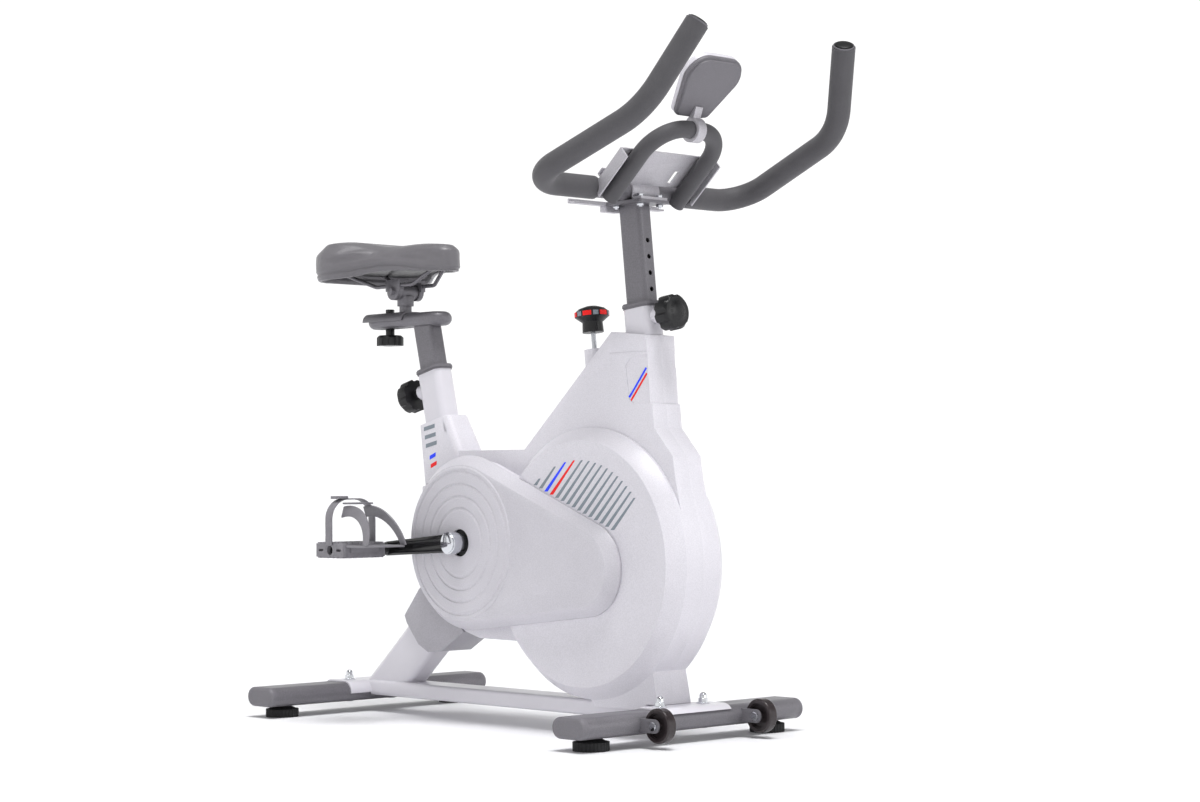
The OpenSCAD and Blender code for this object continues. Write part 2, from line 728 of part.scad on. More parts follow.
module pedal_body() {
    half_w = pedal_w/2;
    half_l = pedal_len/2;
    difference() {
        union() {
            for (s = [-1, 1]) translate([s*(half_w - 4), 0, 0]) cube([8, pedal_len, 27], center = true);
            for (s = [-1, 1]) translate([0, s*(half_l - 3), 0]) cube([pedal_w - 4, 6, 27], center = true);
            rod_y(13.5, -half_l, half_l);
            for (s = [-1, 1]) translate([0, s*half_l/2.4, 0]) cube([pedal_w - 6, 5, 20], center = true);
        }
        // bearing bore for the spindle, and the open outer end of the barrel
        rod_y(spindle_r + run_gap, -half_l - 1, half_l + 1);
        for (s = [-1, 1], z = [-1, 1], i = [-3:3]) {
            translate([s*(half_w - 4), i*12, z*15]) cube([10, 4.5, 8], center = true);
            translate([i*12, s*(half_l - 2), z*15]) cube([4.5, 10, 7], center = true);
        }
        for (s = [-1, 1], x = [-1, 1]) translate([x*25, s*half_l, 0]) cube([13, 14, 4], center = true);
    }
}
module right_pedal() { color("#7d7b80") pedal_frame(-1) pedal_body(); }
module left_pedal() { color("#7d7b80") pedal_frame(1) pedal_body(); }
module toe_cage() {
    half_w = pedal_w/2;
    top_r = 75;
    difference() {
        for (s = [-1, 1]) translate([0, s*(pedal_len/2 - 2), 7]) rotate([s*17, 0, 0]) translate([0, 0, -2])
            side_extrude(s < 0 ? 0 : -3, s < 0 ? 3 : 0) intersection() {
                difference() {
                    translate([27, 0]) circle(top_r);
                    translate([27, -6]) circle(top_r - 13);
                }
                translate([10, 3]) square([100, 100]);
            }
        translate([-100, -100, -100]) cube([300, 200, 109]);
    }
    translate([9, -24, 79]) cube([24, 48, 3]);
    difference() {
        translate([(half_w + 102)/2 + 0.2, 0, 7]) linear_extrude(3.5, center = true)
            rounded_rect(102 - half_w, pedal_len, 14);
        translate([(half_w + 104)/2, 0, 7]) linear_extrude(10, center = true)
            rounded_rect(102 - half_w - 22, pedal_len - 20, 10);
    }
    translate([half_w + 0.2, -30, -4]) cube([3, 60, 12]);
    // strap over the foot, with its buckle
    strap_half = pedal_len/2 + 2.5;
    translate([-9, 0, 0]) difference() {
        translate([0, 0, 26]) rotate([90, 0, 90]) linear_extrude(18) difference() {
            rounded_rect(2*strap_half, 126, 36);
            rounded_rect(2*strap_half - 4, 122, 34);
        }
        translate([-50, -100, -100]) cube([100, 200, 100 + spindle_r + 1]);
    }
    translate([-12, -34, 88.2]) cube([24, 20, 5]);
}
module right_toe_cage() { color("#848287") pedal_frame(-1) toe_cage(); }
module left_toe_cage() { color("#848287") pedal_frame(1) mirror([0, 1, 0]) toe_cage(); }

// ---------- housing ----------

module drum_profile(r_rim, rim, r_edge, disc, r_flat) {
    polygon([[0, 0], [r_rim, 0], [r_rim, rim], [r_edge, disc + 2.5], [r_flat, disc], [0, disc]]);
}
module guard_outline(grow) {
    two_circles([0, 0], guard_big_r + grow, guard_small, guard_small_r + grow);
}
foot_shroud = [
    [axle_x - 14, -crank_height + 75], [axle_x + 10, -crank_height + 46],
    [front_reach - stabiliser_w/2 - 9, -crank_height + 49], [front_reach - stabiliser_w/2 - 5, -crank_height + plate_top + 0.5],
    [front_reach - 17, -crank_height + plate_top + 0.5], [front_reach - 29, -crank_height + 114],
    [axle_x + 110, axle_z - 130], [axle_x, axle_z - 170]];
module half_shell() {
    cut = 1;
    skirt = body_half - shell_wall;
    difference() {
        at_crank() {
            side_extrude(-body_half, 0) polygon(body_outline);
            side_extrude(-drum_rim_half, 0) polygon(foot_shroud);
            side_extrude(-drum_disc_half, -5) guard_outline(-9);
            translate([axle_x, 0, axle_z]) rotate([90, 0, 0]) rotate_extrude()
                drum_profile(drum_r, drum_rim_half, 203, drum_disc_half, 178);
        }
        at_crank() {
            side_extrude(-skirt, cut) polygon(inset(body_outline, shell_wall));
            side_extrude(-drum_rim_half + shell_wall, cut) polygon(inset(foot_shroud, shell_wall));
            side_extrude(-drum_disc_half + shell_wall, -5 + cut) guard_outline(-9 - shell_wall);
            translate([axle_x, cut, axle_z]) rotate([90, 0, 0]) rotate_extrude()
                drum_profile(drum_r - shell_wall, drum_rim_half - shell_wall + cut, 201, drum_disc_half - shell_wall + cut, 177);
            rod_y(bb_r + part_gap, -bb_half - 2, cut);
            rod_y(26, -100, cut);
            // seat for the belt guard across the drum's raised ring
            side_extrude(-drum_disc_half - 10, -drum_disc_half - 0.05) guard_outline(part_gap);
            // window and seam lines pressed into the side
            side_extrude(-body_half - 1, -body_half + 1) polygon(window_outline);
            side_extrude(-body_half - 1, -body_half + 0.8) translate([320, 314]) square([120, 1.2]);
        }
        flywheel_frame() rod_y(18, -100, cut);
        seat_tube_solid(part_gap);
        head_tube_solid(part_gap);
        strut_solid(part_gap);
        brake_frame() cylinder(r = brake_tube_r + part_gap, h = 400);
        placed() translate([rail_rear_x, -rail_w/2 - part_gap, rail_top - rail_h - 5])
            cube([rail_front_x - rail_rear_x + 20, rail_w + 2*part_gap, rail_h + 5 + part_gap]);
        at_crank() side_extrude(-body_half - 20, 20) polygon(boot_outline);
    }
}
module shell_right() { color("#f1eff4") half_shell(); }
module shell_left() { color("#f1eff4") mirror([0, 1, 0]) half_shell(); }
module strut_boot() {
    half = body_half + 3;
    color("#e7e5ea") difference() {
        at_crank() side_extrude(-half, half) polygon(inset(boot_outline, 0.2));
        at_crank() side_extrude(-half + shell_wall, half - shell_wall) polygon(inset(boot_outline, shell_wall));
        at_crank() side_extrude(-half + shell_wall, half - shell_wall)
            polygon([[-140, -60], [-150, -90], [-60, -150], [-30, -140]]);
        strut_solid(part_gap);
        seat_tube_solid(part_gap);
    }
}
module seat_sleeve() {
    low = 112;
    high = 219;
    color("#f1eff4") difference() {
        seat_frame() hull() {
            for (y = [-1, 1]) {
                translate([-31, y*(body_half - 12), low]) cylinder(r = 12, h = 1, $fn = 32);
                translate([63, y*(body_half - 14), low]) cylinder(r = 14, h = 1, $fn = 32);
                translate([-26, y*15, high - 1]) cylinder(r = 12, h = 1, $fn = 32);
                translate([31, y*13, high - 1]) cylinder(r = 14, h = 1, $fn = 32);
            }
        }
        at_crank() side_extrude(-60, 60) polygon(inset(body_outline, -0.2));
        at_crank() side_extrude(-61, 61) guard_outline(-9 + part_gap);
        seat_tube_solid(part_gap);
        seat_frame() translate([0, 0, low - 1]) linear_extrude(high - low - 3)
            translate([8, 0]) square([sleeve_depth + 22, sleeve_w], center = true);
    }
}
module guard_solid(grow, base, depth) {
    hull() {
        side_extrude(-drum_disc_half - 4, -base) guard_outline(grow, $fn = 96);
        side_extrude(-depth, -depth + 1) guard_outline(grow - guard_bevel, $fn = 96);
    }
}
// a ring groove in the guard's flat face
module face_groove(r) {
    translate([0, -guard_face + 1.2, 0]) rotate([90, 0, 0]) ring(r + 1.6, r - 1.6, 10);
}
module guard(hole) {
    difference() {
        at_crank() guard_solid(0, drum_disc_half + 0.1, guard_face);
        at_crank() guard_solid(-shell_wall, drum_disc_half - 1, guard_face - shell_wall);
        at_crank() rod_y(hole, -200, 0);
        for (r = [59.2, 80.3, 101.5, 123.4]) at_crank() face_groove(r);
    }
}
module belt_guard() { color("#e4e2e7") guard(hub_hole_r); }
module left_guard() { color("#e4e2e7") mirror([0, 1, 0]) guard(hub_hole_r); }

// ---------- seat ----------

module slider_slot(x0, x1, r) {
    for (x = [x0, x1]) translate([x, 0, -60]) cylinder(r = r, h = 120);
    translate([x0, -r, -60]) cube([x1 - x0, 2*r, 120]);
}
module seat_post() {
    bar_bottom = slider_z - slider_h/2;
    color("#767478") {
        difference() {
            seat_frame() translate([0, 0, 150]) linear_extrude(400) post_outline(0);
            seat_frame() translate([0, 0, 149]) linear_extrude(400) post_outline(-2.2);
            at_crank() translate([-600, -100, bar_bottom]) cube([1200, 200, 300]);
        }
        at_crank() translate([0, 0, slider_z]) difference() {
            pill_bar(slider_rear, slider_front, slider_w, slider_h);
            along_x(slider_rear + 25, slider_front - 25) rounded_rect(slider_h - 5, slider_w - 5, 9);
            slider_slot(slide_bolt_x - 26, slide_bolt_x + 62, bolt_r + 0.6);
        }
    }
}
module seat_carriage() {
    skin = 3;
    top = slider_z + slider_h/2;
    color("#807e83") at_crank() {
        difference() {
            translate([0, 0, slider_z]) along_x(slider_rear + 2, stem_x + 22)
                rounded_rect(slider_h + 2*(skin + part_gap), slider_w + 2*(skin + part_gap), slider_h/2 + skin);
            translate([0, 0, slider_z]) pill_bar(slider_rear - 30, slider_front, slider_w + 2*part_gap, slider_h + 2*part_gap);
            translate([-600, -100, slider_z - 200]) cube([1200, 200, 200]);
            translate([stem_x + 2, 0, slider_z]) rotate([0, 45, 0]) translate([0, -50, -40]) cube([100, 100, 40]);
            translate([slide_bolt_x, 0, 0]) cylinder(r = bolt_r + run_gap, h = 600);
        }
        difference() {
            union() {
                translate([stem_x, 0, top + 1]) cylinder(r = 11.1, h = clamp_z - top - 8);
                translate([stem_x, 0, clamp_z - 26]) cylinder(r = 15, h = 18);
                translate([stem_x, 0, clamp_z]) rod_y(14, -20, 20);
            }
            translate([stem_x, 0, clamp_z]) rod_y(bolt_r + run_gap, -30, 30);
        }
    }
}
module slider_knob() {
    top = slider_z + slider_h/2;
    low = slider_z - slider_h/2;
    color("#2b2b2d") at_crank() translate([slide_bolt_x, 0, 0]) {
        translate([0, 0, low - 30.5]) lobed_knob(24.5, 18.5, 6, 8);
        translate([0, 0, low - 12.5]) cylinder(r = 8, h = 12);
        translate([0, 0, low - 20]) cylinder(r = bolt_r, h = top - low + 28);
        translate([0, 0, top + 3 + 2*part_gap]) cylinder(r = 8, h = 7, $fn = 6);
    }
}
saddle_rail_path = [
    [saddle_rear + 12, 56, shell_z + 6], [saddle_rear + 96, 25, rail_z], [-200, 25, rail_z],
    [-146, 9, shell_z + 6]];
module saddle_clamp() {
    color("#7a787d") at_crank() translate([stem_x, 0, 0]) {
        difference() {
            both_sides() side_extrude(20.3, 30) {
                translate([0, clamp_z]) circle(16);
                translate([-20, clamp_z]) square([40, 16]);
            }
            for (s = [-1, 1]) translate([0, s*25, rail_z]) rod_x(3.6, -60, 60);
            translate([0, 0, clamp_z]) rod_y(bolt_r + tiny, -60, 60);
        }
        difference() {
            translate([-20, -30, clamp_z + 16]) cube([40, 60, 5]);
            translate([-30, -12, clamp_z + 10]) cube([60, 24, 20]);
        }
        translate([-14, -14, clamp_z + 18]) cube([28, 28, 3]);
        translate([0, 0, clamp_z]) rod_y(bolt_r, -34, 34);
        translate([0, 0, clamp_z]) both_sides() rod_y(8, 30, 37, $fn = 6);
    }
}
module saddle_rails() {
    color("#55545a") difference() {
        at_crank() both_sides() bent_bar(saddle_rail_path, [16, 16], 3.5);
        at_crank() translate([-700, -200, shell_z]) cube([1400, 400, 100]);
    }
}
module saddle_plan(grow) {
    rear_y = saddle_w/2 - saddle_rear_r;
    for (y = [-rear_y, rear_y]) translate([saddle_rear + saddle_rear_r, y]) circle(saddle_rear_r + grow);
    translate([saddle_front - saddle_nose_r, 0]) circle(saddle_nose_r + grow);
    translate([saddle_rear - grow, -rear_y]) square([saddle_rear_r + grow, 2*rear_y]);
    polygon([[saddle_rear + saddle_rear_r - 1, rear_y], [saddle_rear + saddle_rear_r - 1, -rear_y],
             [saddle_front - saddle_nose_r, 0]]);
    for (s = [-1, 1]) polygon(tangent_quad([saddle_rear + saddle_rear_r, s*rear_y], saddle_rear_r + grow,
                                           [saddle_front - saddle_nose_r, 0], saddle_nose_r + grow));
}
module saddle_shell() {
    color("#2e2e31") at_crank() translate([0, 0, shell_z]) linear_extrude(6) saddle_plan(-12);
}
module saddle_cushion() {
    rear_y = saddle_w/2 - saddle_rear_r;
    color("#828084") difference() {
        at_crank() hull() {
            for (y = [-rear_y, rear_y]) translate([saddle_rear + saddle_rear_r, y, 0]) {
                translate([0, 0, 470]) cylinder(r = saddle_rear_r - 4, h = 1, $fn = 48);
                translate([0, 0, 495]) cylinder(r = saddle_rear_r, h = 22, $fn = 48);
                translate([0, 0, 539]) cylinder(r = saddle_rear_r - 22, h = 1, $fn = 48);
            }
            translate([saddle_front - saddle_nose_r, 0, 480]) cylinder(r = saddle_nose_r, h = 36, $fn = 48);
            translate([saddle_front - saddle_nose_r, 0, 524]) cylinder(r = saddle_nose_r - 12, h = 1, $fn = 48);
        }
        at_crank() translate([0, 0, 400]) linear_extrude(shell_z - 400 + 6.2) saddle_plan(-11.7);
    }
}
// a pull pin through a tube's wall, with its tip just short of the post
module pull_pin(reach) {
    rod_x(pin_r, post_depth/2 + 2*post_gap, reach);
}
module seat_pin() {
    color("#c4c6ca") seat_frame() translate([0, 0, seat_pin_z]) rotate([0, 0, 180])
        pull_pin(sleeve_depth/2 + 44);
}
module pull_knob(neck, depth) {
    difference() {
        rotate([0, 90, 0]) {
            cylinder(r = 9, h = neck + 1);
            translate([0, 0, neck]) lobed_knob(knob_r, depth, 8, 7);
            translate([0, 0, neck + depth - tiny]) cylinder(r1 = 18, r2 = 12, h = 3);
        }
        rod_x(pin_r + run_gap, -1, neck + depth - 8);
    }
}
module seat_knob() {
    color("#2b2b2d") seat_frame() translate([0, 0, seat_pin_z]) rotate([0, 0, 180])
        translate([sleeve_depth/2 + 14 + part_gap, 0, 0]) pull_knob(14, 25);
}

// ---------- handlebar ----------

module handlebar_post() {
    color("#767478") {
        difference() {
            head_frame() translate([0, 0, 250]) linear_extrude(500) post_outline(0);
            head_frame() translate([0, 0, 249]) linear_extrude(500) post_outline(-2.2);
            at_crank() translate([-600, -100, post_top_z]) cube([1600, 200, 300]);
            for (i = [-2:3]) head_frame() translate([0, 0, 417 + 27*i + 0.5]) rod_x(4, 10, 60);
        }
        at_crank() difference() {
            translate([bar_x - 1, 0, post_top_z]) linear_extrude(plate_t - 0.05) rounded_rect(84, 70, 6);
            for (x = [-28, 28], y = [-22, 22]) translate([bar_x + x, y, post_top_z - 10])
                cylinder(r = bolt_r - 0.8, h = 30);
            // drain for the open post below
            translate([bar_x - 8, 0, post_top_z - 10]) cylinder(r = 6, h = 30);
        }
    }
}
function bar_axis() = concat([[bar_x, 0, bar_z]], bar_path);
module handlebar() {
    tip = bar_path[2];
    tip_dir = unit(bar_path[2] - bar_path[1]);
    color("#6f6d72") at_crank() both_sides() {
        bent_bar(bar_axis(), bar_bends, bar_d/2, bar_d/2 - bar_wall);
        bar_segment(tip - 14*tip_dir, tip, bar_d/2 - bar_wall - 0.02);
        bar_segment(tip, tip + 3*tip_dir, bar_d/2 + 1);
    }
}
module bar_grips() {
    grip_axis = concat([[bar_x, grip_start, bar_z]], bar_path);
    color("#58585b") at_crank() both_sides() bent_bar(grip_axis, bar_bends, grip_d/2, bar_d/2 + tiny);
}
module media_loop() {
    path = [[0, -loop_half, -14], [0, -loop_half, loop_len], [0, loop_half, loop_len], [0, loop_half, -14]];
    color("#6a686d") difference() {
        loop_frame() bent_bar(path, [60, 60], loop_d/2, loop_d/2 - bar_wall);
        at_crank() translate([bar_x, 0, bar_z]) rod_y(bar_d/2 + 0.02, -150, 150);
    }
}
module tablet_tray() {
    back = -loop_d/2 - 0.1;
    color("#9a989d") {
        difference() {
            loop_frame() union() {
                translate([back - 2.6, -107, 9]) cube([2.6, 214, 71]);
                for (s = [-1, 1]) translate([0, s*105.7, 0]) side_extrude(-1.3, 1.3)
                    polygon([[back - 2.6, 9], [1, -9], [6, -9], [6, 80], [back - 2.6, 80]]);
                for (s = [-1, 1]) translate([back - 16, s*92 - 8, 9]) cube([16, 16, 2.6]);
                for (s = [-1, 1]) translate([back - 16, s*92 - 8, 9]) cube([2.6, 16, 14]);
            }
            loop_frame() for (s = [-1, 1]) translate([-40, s*45 - 4, 18]) cube([40, 8, 26]);
            at_crank() both_sides() translate([bar_x, 0, bar_z])
                rod_y(grip_d/2 + part_gap, grip_start - 1, grip_start + 20);
        }
        at_crank() translate([bar_x - 43 - 12.2, 0, post_top_z]) {
            translate([-4, -103, 0]) cube([16, 206, 3]);
            translate([-4, -103, 0]) cube([3, 206, 8]);
            translate([-4, -30, -10]) cube([14, 34, 9.9]);
        }
    }
}
module bar_clamp() {
    color("#8b898e") at_crank() difference() {
        union() {
            side_extrude(-30, 30) translate([bar_x, bar_z]) circle(bar_d/2 + 4);
            translate([bar_x - 38, -30, bar_z - bar_d/2]) cube([76, 60, 5]);
        }
        translate([bar_x, 0, bar_z]) rod_y(bar_d/2 + 0.02, -50, 50);
        translate([bar_x - 100, -50, bar_z - bar_d/2 - 50]) cube([200, 100, 50]);
        translate([bar_x - bar_d/2, -50, bar_z - bar_d/2 - 1]) cube([bar_d, 100, 14]);
        for (x = [-28, 28], y = [-22, 22]) translate([bar_x + x, y, bar_z - bar_d/2 - 10])
            cylinder(r = bolt_r - 0.8, h = 30);
        loop_leg_cut();
    }
}
module loop_leg_cut() {
    translate([loop_base.x, 0, loop_base.y]) rotate([0, 90 - loop_slope, 0])
        for (s = [-1, 1]) translate([0, s*loop_half, -30]) cylinder(r = loop_d/2 + part_gap, h = 200);
}
module clamp_bolts() {
    base = bar_z - bar_d/2;
    color("#cfd0d4") at_crank()
        for (x = [-28, 28], y = [-22, 22]) translate([bar_x + x, y, base]) {
            translate([0, 0, 5.05]) cylinder(r = 6, h = 5, $fn = 6);
            translate([0, 0, -12]) cylinder(r = bolt_r - 1, h = 20);
            translate([0, 0, -plate_t - 5.05]) cylinder(r = 6, h = 5, $fn = 6);
        }
}
module handlebar_pin() {
    color("#c4c6ca") head_frame() translate([0, 0, head_pin_z]) pull_pin(sleeve_depth/2 + 40);
}
module handlebar_knob() {
    color("#2b2b2d") head_frame() translate([0, 0, head_pin_z])
        translate([sleeve_depth/2 + 12 + part_gap, 0, 0]) pull_knob(12, 26);
}

// ---------- brake ----------

shoe_centre = [
    (axle_x - brake_reach)*cos(head_lean) + axle_z*sin(head_lean),
    -(axle_x - brake_reach)*sin(head_lean) + axle_z*cos(head_lean)];
pad_r = flywheel_r + shoe_gap;
holder_r = pad_r + 7;
holder_top = shoe_centre.y + holder_r + 6;
knob_z = 355;
module brake_rod() {
    color("#bfc1c5") brake_frame() {
        translate([0, 0, holder_top - 5]) cylinder(r = rod_r, h = knob_z - holder_top + 30);
        translate([0, 0, brake_tube_top - 50]) cylinder(r = 10, h = 4);
    }
}
module resistance_knob() {
    color("#2b2b2d") brake_frame() translate([0, 0, knob_z]) difference() {
        union() {
            cylinder(r1 = 18, r2 = 17, h = 18);
            translate([0, 0, 17]) cylinder(r1 = 17, r2 = 28.5, h = 9);
            translate([0, 0, 26]) cylinder(r = 28.5, h = 9);
            translate([0, 0, 35]) cylinder(r1 = 28, r2 = 22, h = 5);
            translate([0, 0, 40]) cylinder(r1 = 22, r2 = 10, h = 4);
        }
        translate([0, 0, -1]) cylinder(r = rod_r + run_gap, h = 27);
    }
}
module brake_shoe() {
    color("#6f5a44") brake_frame() difference() {
        union() {
            translate([shoe_centre.x, 0, shoe_centre.y]) side_extrude(-11, 11) intersection() {
                difference() {
                    circle(holder_r);
                    circle(pad_r);
                }
                translate([-12, 100]) square([46, 200]);
            }
            translate([0, 0, holder_top - 14]) cylinder(r = 9, h = 14);
        }
        translate([0, 0, holder_top - 5.5]) cylinder(r = rod_r + run_gap, h = 20);
        translate([shoe_centre.x, 0, shoe_centre.y]) rod_y(pad_r, -20, 20);
    }
}

// ---------- monitor ----------

module monitor_plan(grow) {
    round_outline([[23, 21], [-23, 21], [-25, -43], [25, -43]], [36, 36, 14, 14] + grow*[1, 1, 1, 1]);
}
module monitor_block(z0, z1, grow) {
    translate([0, 0, z0]) linear_extrude(z1 - z0) monitor_plan(grow);
}
// local +z faces the rider
module facing_rider() { monitor_frame() rotate([0, -90, 0]) rotate([0, 0, -90]) children(); }
module monitor_front() {
    color("#f1eff4") facing_rider() difference() {
        union() {
            monitor_block(-2, 6, 0);
            monitor_block(6 - tiny, 9, -3);
        }
        monitor_block(-3, 5, -2.5);
        translate([0, -36, 0]) cylinder(r = 7 + part_gap, h = 20);
        translate([-34, -12, 8]) cube([68, 44, 2]);
    }
}
module monitor_back() {
    color("#8a888d") facing_rider() difference() {
        union() {
            monitor_block(-8, -2.05, 0);
            monitor_block(-13, -8 + tiny, -4);
        }
        monitor_block(-10.5, -1, -6.5);
    }
}
module monitor_clamp() {
    color("#b4b2b7") difference() {
        union() {
            loop_frame() translate([0, 0, loop_len]) rod_y(20, -9, 9);
            hull() {
                loop_frame() translate([-14, 0, loop_len + 12]) rotate([90, 0, 0]) cylinder(r = 6, h = 16, center = true);
                facing_rider() translate([-8, -44, -16]) cube([16, 12, 2.9]);
            }
        }
        loop_frame() translate([0, 0, loop_len]) rod_y(loop_d/2 + run_gap, -20, 20);
        facing_rider() translate([-60, -80, -13]) cube([120, 160, 40]);
    }
}
module mode_button() {
    color("#3c6fd8") facing_rider() translate([0, -36, 0.2]) {
        cylinder(r = 7, h = 10);
        cylinder(r = 9, h = 1.8);
    }
}

base_rail();
rear_strut();
seat_tube();
main_tube();
head_tube();
bearings();
front_stabiliser();
rear_stabiliser();
stabiliser_caps();
base_fasteners();
foot_front_right();
foot_front_left();
foot_rear_right();
foot_rear_left();
wheel_right();
wheel_left();
shell_right();
shell_left();
strut_boot();
seat_sleeve();
belt_guard();
left_guard();
tube_collars();
drive_belt();
flywheel();
flywheel_axle();
crank_axle();
drive_pulley();
right_crank();
left_crank();
crank_caps();
right_pedal();
left_pedal();
right_toe_cage();
left_toe_cage();
seat_post();
seat_carriage();
saddle_clamp();
saddle_rails();
saddle_shell();
saddle_cushion();
slider_knob();
seat_pin();
seat_knob();
handlebar_post();
handlebar();
bar_grips();
media_loop();
tablet_tray();
bar_clamp();
clamp_bolts();
handlebar_pin();
handlebar_knob();
brake_rod();
resistance_knob();
brake_shoe();
monitor_front();
monitor_back();
monitor_clamp();
mode_button();
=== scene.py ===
import json
import math

import bmesh
import bpy
from bpy.props import FloatProperty, FloatVectorProperty, PointerProperty
from mathutils import Matrix, Vector
from mathutils.bvhtree import BVHTree

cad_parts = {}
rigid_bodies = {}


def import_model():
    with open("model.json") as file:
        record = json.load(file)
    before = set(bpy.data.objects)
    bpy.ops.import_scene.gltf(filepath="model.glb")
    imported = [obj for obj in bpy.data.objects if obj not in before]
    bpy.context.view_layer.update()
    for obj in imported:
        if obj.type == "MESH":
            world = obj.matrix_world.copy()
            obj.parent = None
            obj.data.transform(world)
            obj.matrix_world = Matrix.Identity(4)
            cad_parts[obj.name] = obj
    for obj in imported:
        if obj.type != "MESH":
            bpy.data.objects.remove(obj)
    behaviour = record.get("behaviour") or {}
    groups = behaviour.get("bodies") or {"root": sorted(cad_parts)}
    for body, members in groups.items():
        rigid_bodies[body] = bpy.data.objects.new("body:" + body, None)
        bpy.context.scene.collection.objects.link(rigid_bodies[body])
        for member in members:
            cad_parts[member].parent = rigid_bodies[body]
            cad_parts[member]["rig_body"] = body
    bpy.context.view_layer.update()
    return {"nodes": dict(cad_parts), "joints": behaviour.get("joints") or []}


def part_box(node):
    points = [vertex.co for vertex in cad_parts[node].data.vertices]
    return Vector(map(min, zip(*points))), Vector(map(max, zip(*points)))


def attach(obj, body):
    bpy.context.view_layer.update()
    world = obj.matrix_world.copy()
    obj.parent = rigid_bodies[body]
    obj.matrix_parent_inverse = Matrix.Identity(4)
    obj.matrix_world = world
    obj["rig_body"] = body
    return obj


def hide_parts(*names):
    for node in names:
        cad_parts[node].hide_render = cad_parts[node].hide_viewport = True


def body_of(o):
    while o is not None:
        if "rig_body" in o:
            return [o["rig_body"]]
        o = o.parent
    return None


bl_info = {
    "name": "Exercise bike",
    "version": (1, 0, 0),
    "blender": (4, 5, 0),
    "location": "View3D > Sidebar > Bike",
    "description": "Finishes the packed exercise bike: padded saddle, moulded covers, markings and materials",
    "category": "Object",
}

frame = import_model()
NODES = frame["nodes"]
MM = 0.001


def middle(node):
    low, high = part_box(node)
    return (Vector(low) + Vector(high)) / 2


CRANK = middle("crank_axle")


def side_point(x, z, y):
    """A point given in millimetres from the crank axis, and from the middle plane."""
    return Vector((CRANK.x + x * MM, y * MM, CRANK.z + z * MM))


def linear(colour):
    """Turns an sRGB hex colour such as #C0C0C0 into linear red, green and blue."""
    parts = [int(colour[i : i + 2], 16) / 255 for i in (1, 3, 5)]
    return tuple(c / 12.92 if c <= 0.04045 else ((c + 0.055) / 1.055) ** 2.4 for c in parts)


# ---------- sizes and colours ----------


class BikeSizes(bpy.types.PropertyGroup):
    edge_round: FloatProperty(
        name="Edge rounding", description="Radius on the edges of moulded and welded pieces", default=1.2 * MM,
        min=0.1 * MM, unit="LENGTH", subtype="DISTANCE")
    shell_round: FloatProperty(
        name="Housing rounding", description="Radius on the housing's outer edges", default=2.5 * MM,
        min=0.3 * MM, unit="LENGTH", subtype="DISTANCE")
    ink_height: FloatProperty(
        name="Marking height", description="How far the printed marks stand off the surface", default=0.35 * MM,
        min=0.1 * MM, unit="LENGTH", subtype="DISTANCE")
    camera_lens: FloatProperty(
        name="Lens", description="Focal length of the stage's camera in millimetres", default=74.43, min=20)
    room_light: FloatProperty(
        name="Room light", description="Brightness of the white room", default=1.0, min=0.0, max=3.0)
    floor_size: FloatProperty(
        name="Floor size", description="Side of the square floor", default=120.0, unit="LENGTH", subtype="DISTANCE")


def colour_prop(label, text, value):
    """A colour the panel shows, given as an sRGB hex colour."""
    return FloatVectorProperty(
        name=label, description=text, default=linear(value), subtype="COLOR", size=3, min=0, max=1)


class BikeColours(bpy.types.PropertyGroup):
    white: colour_prop("White", "Covers and frame tubes", "#DBD9DF")
    cover: colour_prop("Belt cover", "The belt covers' plastic", "#CFCDD3")
    # the boot's colour is the covers' white painted darker, as painted shade
    boot: colour_prop("Boot", "The boot round the rear strut", "#B2B0B6")
    grey: colour_prop("Grey", "Posts, stabilisers and brackets", "#7D7B80")
    foam: colour_prop("Foam", "Grips and inner bar", "#5D5C5F")
    saddle: colour_prop("Saddle", "Saddle vinyl", "#78767A")
    black: colour_prop("Black", "Knobs, feet and cranks", "#1F1F21")
    pedal: colour_prop("Pedal", "Pedals and toe cages", "#8A888D")
    blue: colour_prop("Blue", "Blue marks", "#1446FF")
    red: colour_prop("Red", "Red marks and knob insets", "#EE1111")
    slate: colour_prop("Slate", "Grey marks", "#8A939B")


# ---------- materials ----------


def add(tree, kind, settings=(), **inputs):
    """Adds a shader node, sets its own settings, and sets or links its inputs by name, or by number as _0."""
    node = tree.nodes.new("ShaderNode" + kind)
    for key, value in dict(settings).items():
        setattr(node, key, value)
    for key, value in inputs.items():
        socket = node.inputs[int(key[1:])] if key[1:].isdigit() else node.inputs[key.replace("_", " ")]
        if isinstance(value, bpy.types.NodeSocket):
            tree.links.new(value, socket)
        else:
            socket.default_value = value
    return node


def shade(colour, factor):
    """A colour made lighter or darker, with its alpha."""
    return (*[min(1.0, c * factor) for c in colour], 1.0)


